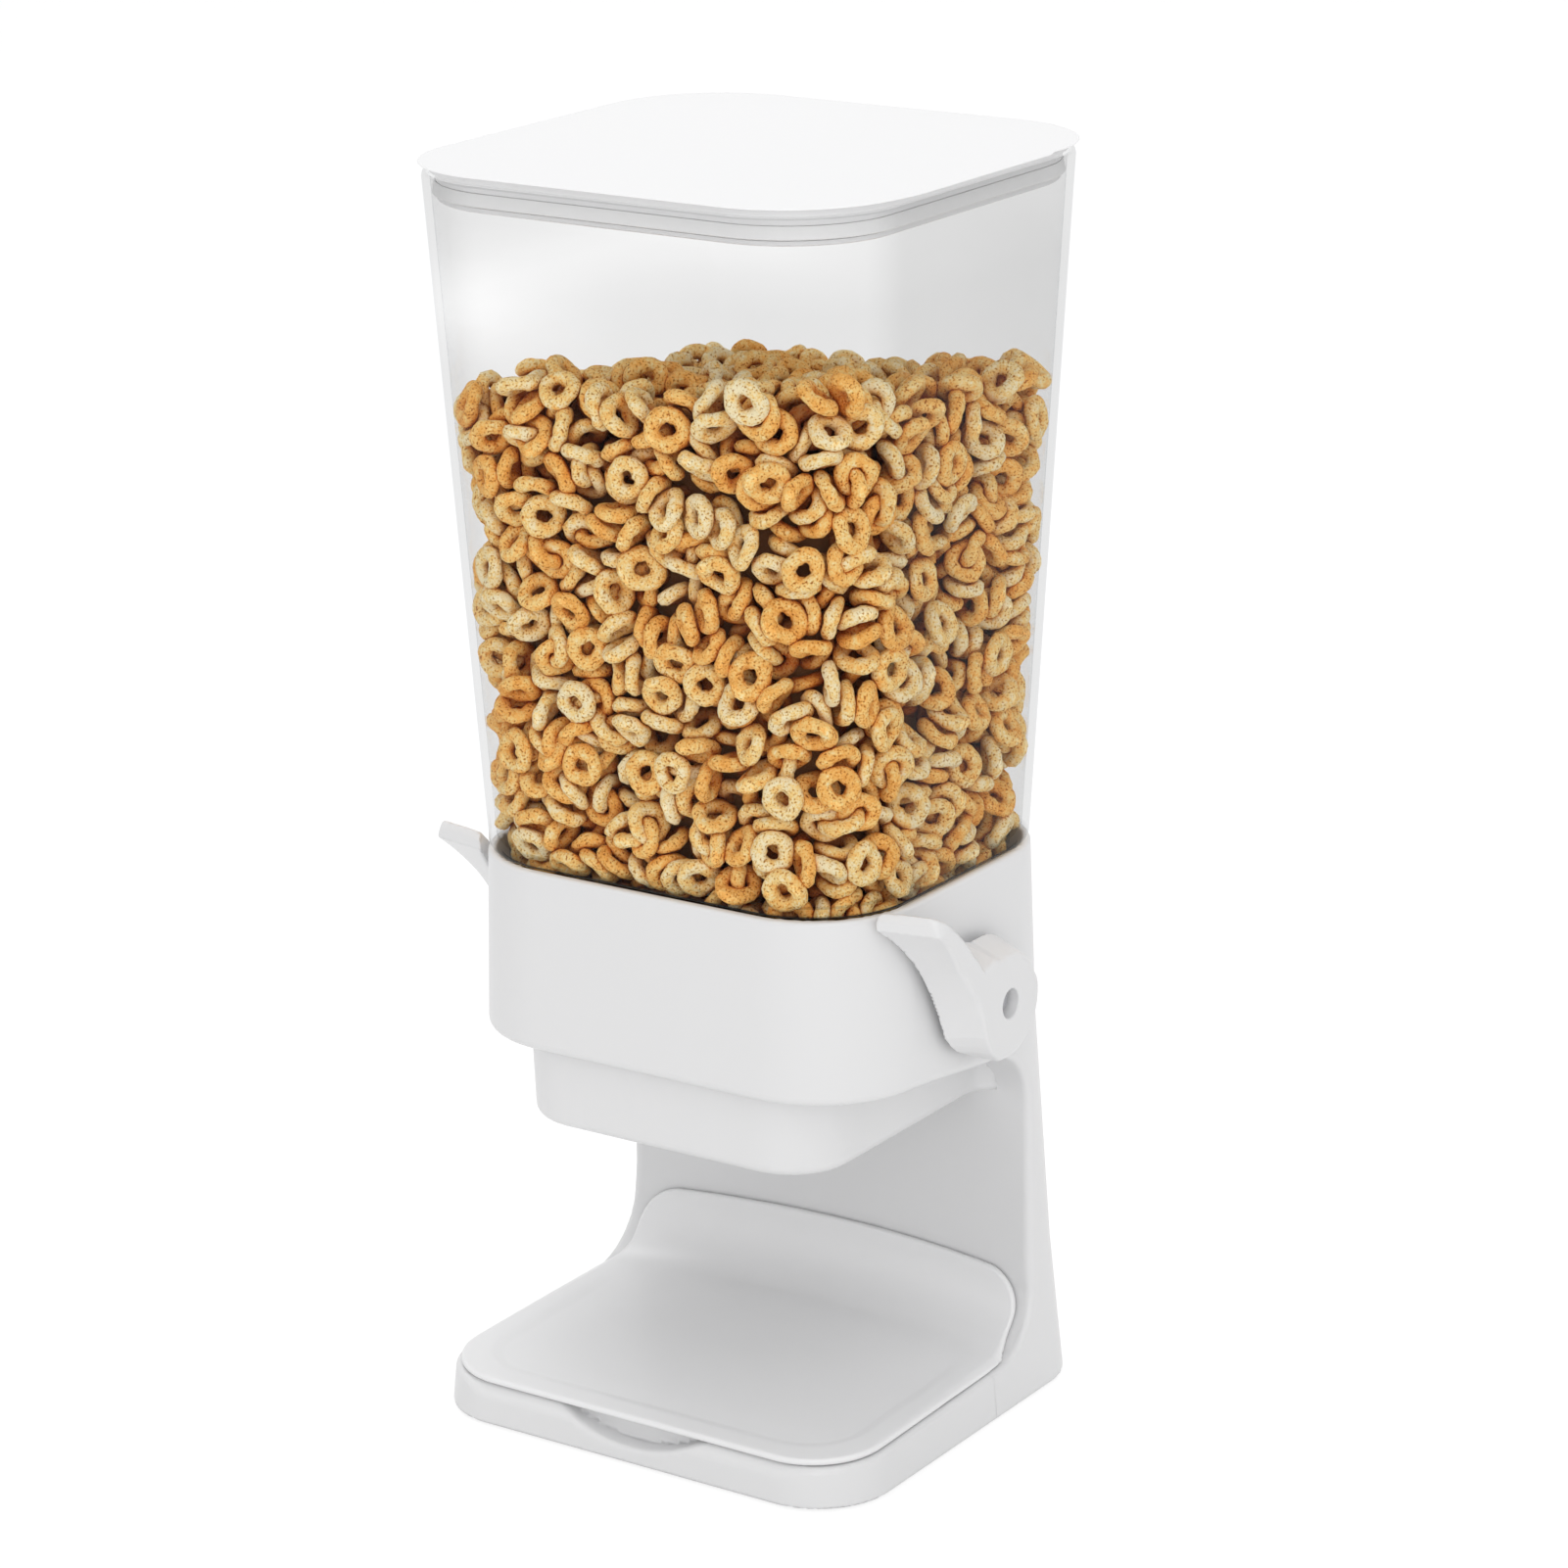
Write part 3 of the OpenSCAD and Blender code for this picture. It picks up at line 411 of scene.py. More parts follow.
def cereal_skin():
    """Baked oat rings: golden, with dark specks and a rough crumb; painted shade darkens the holes, the
    creases between rings and the rings deeper in the heap.
    """
    m, tree, bsdf = shader("cereal", (0.7, 0.4, 0.12), 0.7, IOR=1.35)
    tone = add(tree, "ShaderNodeAttribute", attribute_name="tone")
    light = add(tree, "ShaderNodeAttribute", attribute_name="light")
    big = add(tree, "ShaderNodeTexNoise", [(place(tree, 330).outputs[0], "Vector")], Scale=1.0, Detail=4.0)
    fine = add(tree, "ShaderNodeTexNoise", [(place(tree, 1500).outputs[0], "Vector")], Scale=1.0, Detail=4.0)
    both = add(tree, "ShaderNodeMath", [(tone.outputs["Fac"], 0), (big.outputs[0], 1)], operation="ADD")
    crumb = add(tree, "ShaderNodeMath", [(both.outputs[0], 0), (fine.outputs[0], 1)], operation="ADD")
    half = add(tree, "ShaderNodeMath", [(crumb.outputs[0], 0)], operation="MULTIPLY")
    half.inputs[1].default_value = 0.334
    ramp = add(tree, "ShaderNodeValToRGB", [(half.outputs[0], 0)])
    paint(ramp, [(0.36, (0.86, 0.36, 0.06)), (0.45, (1.0, 0.54, 0.14)),
                 (0.52, (1.0, 0.72, 0.28)), (0.60, (1.0, 0.88, 0.58))])
    # Painted shade from the light attribute: darker deeper in the heap and inside the holes.
    crease_shade = add(tree, "ShaderNodeValToRGB", [(light.outputs["Fac"], 0)])
    paint(crease_shade, [(0.0, (0.16, 0.05, 0.02)), (0.35, (0.46, 0.22, 0.10)),
                   (0.6, (0.92, 0.80, 0.64)), (0.8, (1, 1, 1))])
    specks = add(tree, "ShaderNodeValToRGB", [(fine.outputs[0], 0)])
    paint(specks, [(0.34, (0.42, 0.26, 0.12)), (0.43, (1, 1, 1))])
    # Painted shade: ambient occlusion among the rings darkens the creases between them.
    hollow = add(tree, "ShaderNodeAmbientOcclusion", samples=6, only_local=True, Distance=0.0045)
    ao_shade = add(tree, "ShaderNodeValToRGB", [(hollow.outputs["AO"], 0)])
    paint(ao_shade, [(0.1, (0.34, 0.12, 0.04)), (0.38, (0.76, 0.44, 0.20)),
                  (0.55, (0.96, 0.84, 0.68)), (0.75, (1, 1, 1))])
    color = multiply(tree, multiply(tree, ramp.outputs[0], crease_shade.outputs[0]), specks.outputs[0])
    color = multiply(tree, color, ao_shade.outputs[0])
    tree.links.new(color, bsdf.inputs["Base Color"])
    bump = add(tree, "ShaderNodeBump", [(fine.outputs[0], "Height")], Strength=0.9, Distance=0.0005)
    tree.links.new(bump.outputs[0], bsdf.inputs["Normal"])
    return m


def multiply(tree, a, b):
    """The product of two colours."""
    mix = add(tree, "ShaderNodeMix", data_type="RGBA", blend_type="MULTIPLY")
    mix.inputs[0].default_value = 1.0
    tree.links.new(a, mix.inputs[MIX_A])
    tree.links.new(b, mix.inputs[MIX_B])
    return mix.outputs[MIX_RESULT]


def paint(ramp, stops):
    """Sets the stops of a colour ramp, each a place and a colour."""
    elements = ramp.color_ramp.elements
    while len(elements) < len(stops):
        elements.new(0.5)
    for e, (at, color) in zip(elements, stops):
        e.position = at
        e.color = (*color, 1)


MATERIALS = {
    "white_plastic": white_plastic(),
    # The tray's white is set lighter than white_plastic: painted light against the shade under the housing.
    "tray_plastic": white_plastic("tray_plastic", (0.83, 0.83, 0.835), (0.26, 0.34)),
    "bearing_plastic": white_plastic("bearing_plastic", (0.72, 0.72, 0.70), (0.5, 0.6)),
    "clear_plastic": clear_plastic(),
    "seal_silicone": silicone(),
    "grey_rubber": grey_rubber(),
    "steel": steel(),
}


def dress_cad():
    """Every CAD node gets its slot's material."""
    slots = {s["node"]: s["material_slot"] for s in frame["record"]["subparts"]}
    for name, node in frame["nodes"].items():
        if not node.material_slots:
            node.data.materials.append(None)
        for s in node.material_slots:
            s.link = "OBJECT"
            s.material = MATERIALS[slots[name]]


def finish_piece(piece, body, slot, *nodes):
    """Gives a piece its material, the body it moves with, its slot and the CAD nodes it replaces."""
    piece.data.materials.append(MATERIALS[slot])
    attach(piece, body)
    if nodes:
        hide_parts(*nodes)


# ---- Stand -----------------------------------------------------------------

RIM_ROUND, GROUND_ROUND = 1.2, 0.8  # edges of the rim and of the foot
NOSE_IN, NOSE_ROUND = 3.2, 1.0  # slanted edge at the front of the foot
BAY_LEVELS, BAY_EDGE = [14, 40, 100, 112], [1.4, 3.2, 3.2, 2.6]  # rounding of the bay's edge, by height
SCOOP_HALF, SCOOP_DEEP, SCOOP_IN, SCOOP_ROUND = 20.5, 4.6, 7, 1.6  # finger scoop in the foot's front edge
SCOOP_TOP = BASE_H - BASE_FALL - 2.6
SCOOP_R = (SCOOP_HALF ** 2 + SCOOP_DEEP ** 2) / (2 * SCOOP_DEEP)
BOSS_R, BOSS_X, BORE_R, BORE_X = 10, 61, 7.1, 55  # thick wall round each bushing, and its bore
FOOT_ROOM = 20  # above the foot; its hollow reaches up to here
LEDGE_Z, LEDGE_T, LEDGE_IN = RIM_Z - NECK_H - 3.6, 3.0, 3.0  # top of the funnel's ledge, and its section
PARTING_Y, PARTING_GAP, FOOT_TOP = 10.0, 0.08, 27  # where the foot's front meets the shell
STAND_BOX, STAND_STEP = ((-78, -76, 0), (78, 67, 177)), 1.3  # grid of the skin: corners and step


def stand_solid(x, y, z):
    """Housing, column and foot as one hollow moulding."""
    side = stand_outline(x, y, z)
    open_front = bay(x, y, z)
    body = cut_round(cut_round(side, z - RIM_Z, RIM_ROUND), GROUND - z, GROUND_ROUND)
    nose = (z - (BASE_H - BASE_FALL) - (y + BASE_FRONT - NOSE_IN)) * 0.707
    body = cut_round(body, -open_front, np.interp(z, BAY_LEVELS, BAY_EDGE))
    body = cut_round(body, np.where(z < FOOT_ROOM, nose, -50), NOSE_ROUND)
    scoop = np.hypot(x, z - (SCOOP_TOP - SCOOP_DEEP + SCOOP_R)) - SCOOP_R
    scoop = np.maximum(scoop, y - (-BASE_FRONT + SCOOP_IN))
    body = cut_round(body, -scoop, SCOOP_ROUND)
    room = np.maximum(side + WALL, FLOOR_Z - z)
    room = np.maximum(room, -np.maximum(about_pivot(y, z, BOSS_R), BOSS_X - np.abs(x)))
    foot = np.maximum(np.maximum(side + WALL, -(open_front - WALL)), z - FOOT_ROOM)
    foot = np.maximum(foot, -(scoop - WALL))
    body = np.maximum(body, -np.minimum(room, foot))
    chute_hole = np.maximum(chute_outline(x, y, z) - SEAT, np.maximum(y - CHUTE_BACK - 0.6, z - FLOOR_Z - 1))
    return np.maximum(body, -chute_hole)


def stand_with_holes(x, y, z):
    """The stand with the ledge for the funnel and the bores for the bushings."""
    side = stand_outline(x, y, z)
    ring = np.maximum(side + WALL - 0.8, -(side + WALL + LEDGE_IN))
    ledge = np.maximum(ring, np.abs(z - LEDGE_Z + LEDGE_T / 2) - LEDGE_T / 2)
    bore = np.maximum(about_pivot(y, z, BORE_R), BORE_X - np.abs(x))
    return np.maximum(np.minimum(stand_solid(x, y, z), ledge), -bore)


def stand():
    """The shell and the foot's front, cut from one skin along the parting line."""
    whole = skin("stand_whole", stand_with_holes, *STAND_BOX, STAND_STEP)
    front = split(whole, "base_front_skin", PARTING_Y - PARTING_GAP, True)
    back = split(whole, "stand_skin", PARTING_Y, False)
    bpy.data.objects.remove(whole)
    finish_piece(back, "stand", "white_plastic", "stand_shell")
    finish_piece(front, "stand", "white_plastic", "base_front")


def split(piece, name, y, front):
    """The part of the foot's mesh in front of y, or the rest of the mesh."""
    mesh = piece.data
    co = vertices(piece)
    corner = np.empty(len(mesh.loops), int)
    mesh.loops.foreach_get("vertex_index", corner)
    quads = corner.reshape(-1, 4)
    normal = np.empty(len(mesh.loops) * 3)
    mesh.corner_normals.foreach_get("vector", normal)
    normals = np.zeros((len(co), 3))
    normals[corner] = normal.reshape(-1, 3)
    low = co[:, 2] < FOOT_TOP
    moved = co.copy()
    pull = low & (np.abs(co[:, 1] - y) < STAND_STEP / 2 + 0.01)
    moved[pull, 1] = y
    part = (moved[:, 1] <= y + 1e-9) & low if front else (moved[:, 1] >= y - 1e-9) | ~low
    keep = part[quads].all(1)
    used = np.unique(quads[keep])
    index = np.full(len(co), -1)
    index[used] = np.arange(len(used))
    return mesh_piece(name, moved[used], index[quads[keep]], normals[used])


# ---- Chute and tray --------------------------------------------------------

CHUTE_DRAFT, CHUTE_NOSE_DRAFT, CHUTE_R_DRAFT = 0.9, 0.7, 0.6  # what the chute gains up to its top
CHUTE_BACK, SUNK = 36.4, 0.8  # the chute's back; its swept sides end this deep in the column
FAN_IN = 3.6  # the swept sides stay this far inside the housing's outline
CHUTE_LIP, CHUTE_ROUND = 3.6, 3.4  # the thicker lower edge, and its rounding
FLANGE_HX, FLANGE_OUT, FLANGE_R = 63.2, 3.5, 23  # the flange inside, on the housing's floor
BACK_HX = 50  # half of the back wall, which stands clear of the column
BEHIND = 200  # further back than any part of the stand
RECESS_SIDE, RECESS_FRONT, RECESS_BACK = 12, 11, 4  # the dish in the tray starts this far in
RECESS_R, RECESS_SOFT = 18, 5  # its corners, and the width of its slope
DISH_END, DISH_FADE = -14, 34  # the dish fades out from here backwards, over this length
CHUTE_BOX, TRAY_BOX = ((-76, -61, 93), (76, 42, 125)), ((-77, -76, 12), (77, 46, 39))  # their grids
TRAY_KNEE, TRAY_ROUND = 6.0, 1.0  # where the tray widens below its upper corners, and its edge


def chute_outline(x, y, z):
    """Plan of the chute: round front corners, straight sides."""
    k = np.clip((z - CHUTE_Z) / (UNDER_Z - CHUTE_Z), 0, 1.1)
    return rounded_box(x, y, CHUTE_HX + CHUTE_DRAFT * k, CHUTE_FRONT + CHUTE_NOSE_DRAFT * k, BEHIND,
                       CHUTE_R + CHUTE_R_DRAFT * k)


def chute_solid(x, y, z):
    """The skirt under the housing, with its flange on the housing's floor."""
    air = bay(x, y, z) - SUNK
    straight = chute_outline(x, y, z)
    column = COLUMN_R - np.hypot(x, y - (COLUMN_Y - COLUMN_R))
    plan = join_round(straight, np.maximum(column, stand_outline(x, y, z) + FAN_IN), CHUTE_FAN)
    plan = np.maximum(plan, np.minimum(air, straight))
    wall = np.interp(z, [CHUTE_Z + 4, CHUTE_Z + 9], [CHUTE_LIP, CHUTE_WALL])
    flange = rounded_box(x, y, FLANGE_HX, CHUTE_FRONT + FLANGE_OUT, BEHIND, FLANGE_R)
    flange = np.maximum(flange, np.abs(z - FLOOR_Z - 1) - 1)
    body = np.minimum(cut_round(np.maximum(plan, z - FLOOR_Z - 1), CHUTE_Z - z, CHUTE_ROUND), flange)
    body = np.maximum(body, np.minimum(y - CHUTE_BACK, np.maximum(air, BACK_HX - np.abs(x))))
    hole = np.maximum(straight + wall, y - CHUTE_BACK + CHUTE_WALL)
    return cut_round(body, -hole, 0.5)


def tray_solid(x, y, z):
    """A thin sheet on the foot and the column, dished a little in the middle."""
    air = bay(x, y, z)
    plan = stand_outline(x, y, np.full_like(z, BASE_H)) + TRAY_IN
    top = rounded_box(x, z, RIM_HX - 2, 100, TRAY_TOP, SHOWN_CORNER)
    low = np.maximum(z - (TRAY_TOP - TRAY_CORNER - TRAY_KNEE), np.abs(x) - BASE_W / 2)
    plan = cut_round(plan, join_round(top, low, TRAY_KNEE), TRAY_ROUND)
    recess = rounded_box(x, y, BASE_W / 2 - RECESS_SIDE, BASE_FRONT - RECESS_FRONT,
                         COLUMN_Y - SWEEP_R - RECESS_BACK, RECESS_R)
    dish = DISH * (1 - smooth(recess / RECESS_SOFT + 0.5)) * (1 - smooth((y - DISH_END) / DISH_FADE))
    slab = np.maximum(air + SEAT, -(air + SEAT + TRAY_T) + dish)
    return cut_round(slab, plan, TRAY_ROUND)


def chute_and_tray():
    """Both skins, each from its own grid."""
    finish_piece(skin("chute_skin", chute_solid, *CHUTE_BOX, 1.1), "stand", "white_plastic", "chute")
    finish_piece(skin("tray_skin", tray_solid, *TRAY_BOX, 0.9), "tray", "tray_plastic", "tray")


# ---- Levers ----------------------------------------------------------------

WING_CY, WING_CZ, WING_R = PIVOT_Y - 112.2, PIVOT_Z - 38.2, 97.3  # the circle that the wing's front follows
WING_A0, WING_A1, TIP_A = 18.7, 47.5, 49.4  # where it starts, ends and has its tip
WING_T, WING_GROWTH = 4.8, 0.2  # thickness at the tip, and what each degree towards the hub adds
TIP_FLARE, TIP_ROUND, TIP_CURVE = 3.2, 4.5, 45  # how far the tip stands out, its edge and its arc
LEAN, LEAN_LESS = 0.95, 0.75  # how much the wing's front turns outwards, and less so near the tip
LEAN_Z, LEAN_H = PIVOT_Z - 13, 46  # the lean lessens from here up, over this height
HUB_X = float(np.interp(PIVOT_Z, LEVELS, STAND_HX)) + 2.6  # the hub's inner face
HUB_EDGE, HUB_EDGE_LOW = 1.1, 2.3  # rounding of the hub's face, and more of it low at the back
SCREW_R, SCREW_DEPTH = 4.5, 5.0
HOUSING_GAP = 2.6  # between the wing and the housing
LEVER_BOX = (70, -50, 120), (92, 20, 182)  # the grid of the skin
FAR = 400  # further than any point of the grid


def lever_profile():
    """Side outline of the lever, as points (y, z): up the front, down the back and round the hub."""
    def wing(a, r):
        return (WING_CY + r * math.cos(math.radians(a)), WING_CZ + r * math.sin(math.radians(a)))

    front = [wing(WING_A0 + (WING_A1 - WING_A0) * i / 16, WING_R) for i in range(17)]
    tip = [wing(TIP_A - 0.6, WING_R + WING_T / 2)]
    back = [wing(TIP_A - a, WING_R + WING_T + WING_GROWTH * a) for a in np.arange(0, 17, 2.5)]
    shoulder = [wing(TIP_A - 19, WING_R + 11.5), (PIVOT_Y - 9, PIVOT_Z + HUB_R + 0.7)]
    hub = [(PIVOT_Y + HUB_R * math.cos(math.radians(a)), PIVOT_Z + HUB_R * math.sin(math.radians(a)))
           for a in np.linspace(104, -104.5, 48)]
    heel = [(PIVOT_Y - 13.8, PIVOT_Z - 13), (PIVOT_Y - 17.2, PIVOT_Z - 10.4)]
    return np.array(front + tip + back + shoulder + hub + heel)


LEVER_PROFILE = lever_profile()


def polygon_distance(y, z, points):
    """Signed distance to a closed outline, negative inside."""
    best = np.full(np.shape(y), 1e9)
    inside = np.zeros(np.shape(y), bool)
    for a, b in zip(points, np.roll(points, -1, axis=0)):
        e = b - a
        t = np.clip(((y - a[0]) * e[0] + (z - a[1]) * e[1]) / (e @ e), 0, 1)
        best = np.minimum(best, np.hypot(y - a[0] - t * e[0], z - a[1] - t * e[1]))
        if a[1] != b[1]:
            inside ^= ((a[1] > z) != (b[1] > z)) & (y < (z - a[1]) / e[1] * e[0] + a[0])
    return np.where(inside, -best, best)


def lever_side(y, z, out):
    """Distance to the lever's side outline, which leans and swells with the way out from the housing."""
    lean = LEAN - LEAN_LESS * np.clip((z - LEAN_Z) / LEAN_H, 0, 1)
    on_wing = smooth((PIVOT_Y - 4 - y) / 14)
    side = polygon_distance(y - on_wing * lean * out, z, LEVER_PROFILE)
    on_hub_top = smooth((y - PIVOT_Y + 20) / 6) * smooth((z - PIVOT_Z - 2) / 6)
    return side - on_hub_top * (HUB_SWELL - HUB_SLOPE * (out - 0.5))


def lever_face(y, z, out):
    """Distance to the lever's outer face: it flares towards the tip and rounds over there."""
    face = out - HUB_W - TIP_FLARE * np.clip((z - PIVOT_Z - 18.5) / 15, 0, 1)
    tip = (np.arctan2(z - WING_CZ, y - WING_CY) - math.radians(TIP_A)) * (WING_R + WING_T / 2)
    tip = np.maximum(tip, -30) + np.maximum(out - 3, 0) ** 2 / TIP_CURVE
    return cut_round(face, tip, TIP_ROUND)


def lever_solid(x, y, z):
    """The right-hand lever: hub, wing and screw recess."""
    out = x - HUB_X
    low_back = smooth((y - PIVOT_Y + 9) / 8) * (1 - smooth((z - PIVOT_Z - 2) / 8))
    body = cut_round(lever_side(y, z, out), lever_face(y, z, out), HUB_EDGE + HUB_EDGE_LOW * low_back)
    body = cut_round(body, HOUSING_GAP - stand_outline(x, y, z), 0.6)
    off_hub = about_pivot(y, z, HUB_R + 5) > 0
    body = np.maximum(body, HUB_X - x - FAR * off_hub)
    recess = np.maximum(about_pivot(y, z, SCREW_R), HUB_W - SCREW_DEPTH - out)
    return cut_round(body, -recess, 0.35)


def levers():
    """The right lever, and its mirror image on the left."""
    right = skin("lever_right_skin", lever_solid, *LEVER_BOX, 0.7)
    left_mesh = right.data.copy()
    left_mesh.name = "lever_left_skin"
    left_mesh.transform(Matrix.Scale(-1, 4, (1, 0, 0)))
    left_mesh.flip_normals()
    left = bpy.data.objects.new("lever_left_skin", left_mesh)
    bpy.context.scene.collection.objects.link(left)
    finish_piece(right, "lever", "white_plastic", "lever_right")
    finish_piece(left, "lever", "white_plastic", "lever_left")


# ---- Hopper and lid --------------------------------------------------------

FOOT_ROUND, MOUTH_ROUND = 2.4, 1.2
PALE_LEVELS = [305, 318, 324, 330, 336, 342, 348, 354, 362, 372]  # rings close together, for clear_walls
THROUGH = 0.942  # light that a clear wall lets through
PALE_Z, PALE_MORE = 343, 0.058  # painted light: a paler band at the left, as high as this
RIGHT_SHADE, FOOT_SHADOW = 0.02, 0.92  # painted shade at the right, and a painted contact shadow in the dark line at the foot
RECESS_UNDER = 3.0  # how far the lid's edge leans in under its rim
FLAT_IN = 16  # the lid's flat middle starts this far in


def hopper():
    """The clear wall: up the outside from the neck, over the mouth and down the inside."""
    foot, mouth, w = FOOT_Z, MOUTH_Z, HOPPER_WALL
    neck_z = RIM_Z - NECK_H + SEAT
    steps = [(neck_outline(0), z) for z in (neck_z + 0.3, foot - 0.4)]
    steps += [(neck_outline(-0.2), foot), (hopper_outline(foot, FOOT_ROUND), foot)]
    for a in np.linspace(0.2, math.pi / 2, 6):
        z = foot + FOOT_ROUND * (1 - math.cos(a))
        steps += [(hopper_outline(z, FOOT_ROUND * (1 - math.sin(a))), z)]
    steps += [(hopper_outline(z, 0), z) for z in [190, 220, 250, 280] + PALE_LEVELS + [mouth - MOUTH_ROUND]]
    steps += [(hopper_outline(z, d), z) for z, d in
              ((mouth - 0.35, 0.35), (mouth, MOUTH_ROUND), (mouth - 0.35, w - 0.35),
               (mouth - MOUTH_ROUND, w))]
    steps += [(hopper_outline(z, w), z) for z in PALE_LEVELS[::-1] + [270, 220, foot + w + 2]]
    steps += [(hopper_outline(foot + w, w + 1.2), foot + w)]
    steps += [(neck_outline(w), z) for z in (foot + w, neck_z + 0.3)]
    steps += [(neck_outline(w / 2), neck_z)]
    outer = [z for _, z in steps].index(mouth) + 1
    piece = stack("hopper_skin", steps, closed=True, sharp=40)
    clear_walls(piece, outer)
    finish_piece(piece, "hopper", "clear_plastic", "hopper")


def clear_walls(piece, outer):
    """Paints how much light each point of the walls lets through, with painted light in a paler band at the
    left, painted shade at the right and a painted contact shadow along the foot, and which points are on the
    outside.
    """
    x, y, z = vertices(piece).T
    ring = np.arange(len(x)) // len(hopper_outline(RIM_Z, 0))
    outside = (ring < outer).astype(float)
    # Painted light: a paler band high on the left; painted shade: less light through on the right.
    pale = PALE_MORE * np.exp(-((z - PALE_Z) / 13) ** 2) * np.clip((10 - x) / 50, 0, 1)
    pale -= RIGHT_SHADE * smooth((368 - z) / 14) * np.clip((x - 20) / 30, 0, 1)
    # Painted contact shadow along the foot, strongest at the front right.
    shade = np.clip((-y + 45) / 100, 0.15, 1) * np.clip((x + 65) / 60, 0.1, 1)
    foot = outside * shade * (1 - smooth((z - FOOT_Z - 0.5) / 1.3))
    paint_points(piece, through=(THROUGH + pale) * (1 - FOOT_SHADOW * foot), outside=outside)


def lid():
    """The lid: a plate whose edge leans in under its rim, and the plug that carries the seal."""
    g = HOPPER_WALL + PLUG_GAP
    inner = g + PLUG_WALL
    plug_z, groove_low, groove_high = LID_Z - SHOWN_PLUG, LID_Z - SEAL_LOW - 0.4, LID_Z - SEAL_HIGH + 0.1
    rings = [(hopper_outline(MOUTH_Z, inner + 20), LID_Z + 0.2), (hopper_outline(MOUTH_Z, inner), LID_Z)]
    rings += [(hopper_outline(z, d), z) for z, d in
              ((LID_Z - 4, inner), (plug_z + 0.4, inner), (plug_z, inner - 0.5), (plug_z, g + 0.4),
               (plug_z + 0.3, g), (groove_low, g), (groove_low, g + 1.5), (groove_high, g + 1.5),
               (groove_high, g), (LID_Z, g))]
    rings += [(hopper_outline(MOUTH_Z, d - OVERHANG, TAB_OUT * t), z) for z, d, t in
              ((LID_Z, RECESS_UNDER + 0.2, 0.5), (LID_Z + 0.2, RECESS_UNDER, 0.6),
               (LID_Z + 2.0, RECESS_UNDER, 0.7), (LID_Z + 2.15, RECESS_UNDER - 0.2, 0.8),
               (LID_Z + 2.25, 0.15, 1), (LID_Z + 2.4, 0, 1), (TOTAL_H - 0.12, 0.08, 1),
               (TOTAL_H - 0.04, 0.25, 0.9), (TOTAL_H, 0.7, 0.7))]
    rings += [(hopper_outline(MOUTH_Z, FLAT_IN), TOTAL_H)]
    finish_piece(stack("lid_skin", rings, sharp=35), "lid", "white_plastic", "lid")
    lid_seal(g)


def lid_seal(g):
    """The ring in the plug's groove: a round bulge that widens downwards."""
    ring = [(hopper_outline(LID_Z - h, g - d), LID_Z - h) for h, d in
            ((SEAL_HIGH, -1.4), (SEAL_HIGH, 0.2), (SEAL_HIGH + 0.3, 0.45), (SEAL_LOW - 0.7, 1.1),
             (SEAL_LOW - 0.3, 1.3), (SEAL_LOW, 1.1), (SEAL_LOW, -1.4))]
    finish_piece(stack("lid_seal_skin", ring, closed=True, sharp=35), "lid", "seal_silicone", "lid_seal")


# ---- Cereal ----------------------------------------------------------------

RING_R, RING_T = 4.3, 2.3  # centre line of a ring, and half its thickness
BEADS = 8  # a ring is moved as this many balls on its centre line
RING_SPACE = 800.0  # cubic millimetres of heap for each ring
CEREAL_FOOT, NECK_FOOT = 177.0, 168.0  # how low the cereal reaches, in the hopper and in its neck
DEEP = 19.0  # rings further in than this can't be seen, and are left out
NEAR = 9.5  # rings closer to the walls or the top than this have finer meshes
HEAP_Z, HEAP_RIGHT, HEAP_BACK = 325.0, 0.09, 0.133  # its middle, rise to the right, fall to the back
BANDS = {"cereal_foot": (0, 213), "cereal_low": (213, 250),
         "cereal_middle": (250, 287), "cereal_top": (287, 400)}  # a mesh for each range of heights
STEPS, PAIRS_EVERY, PAIR_MARGIN = 110, 5, 1.6  # of settling; how often and widely pairs are sought
EASE, SOFT, SINK = 1.2, 0.3, 0.12  # eagerness of a move, softness of the heap's limits, first step down
MOST_MOVE, MOST_TURN = 1.2, 0.3  # of a ring in one step, in mm and radians
FINE_SHAPES, FINE_MESH = 10, (26, 12)  # different rings, and points along and round each
COARSE_SHAPES, COARSE_MESH = 6, (16, 8)
LIT_DEPTH, LIT_FADE = 3.5, 14  # painted light is full down to this depth, and painted shade deepens over this
CORE_IN, CORE_LEVELS = 15, (CEREAL_FOOT + 3, 200, 230, 260, 290, 303)  # inside the wall, and its rings


def tub(x, y, z):
    """The hopper's inner wall: negative inside."""
    k = (MOUTH_Z - z) / (MOUTH_Z - FOOT_Z)
    return rounded_box(x, y, MOUTH_H - k * SIDE_DRAFT, MOUTH_H - k * FRONT_DRAFT,
                       MOUTH_H - k * BACK_DRAFT, MOUTH_R + k * (FOOT_R - MOUTH_R)) + HOPPER_WALL


def cavity(x, y, z):
    """The room for cereal in the hopper and its neck: negative inside."""
    neck = rounded_box(x, y, MOUTH_H - SIDE_DRAFT - NECK_STEP, MOUTH_H - FRONT_DRAFT - NECK_STEP,
                       MOUTH_H - BACK_DRAFT - NECK_STEP, FOOT_R - NECK_STEP) + HOPPER_WALL
    return np.minimum(np.maximum(tub(x, y, z), CEREAL_FOOT - z), np.maximum(neck, NECK_FOOT - z))


def heap_top(x, y):
    """Height of the heap of cereal: highest at the front right, with a few humps."""
    humps = 2.2 * np.sin(x / 15 + 1.0) * np.cos(y / 17) + 1.6 * np.cos(x / 9 - y / 14)
    return HEAP_Z + HEAP_RIGHT * x - HEAP_BACK * y + humps


def depth(x, y, z):
    """How far below the heap's skin a point lies."""
    return np.minimum(-tub(x, y, z), heap_top(x, y) - z)


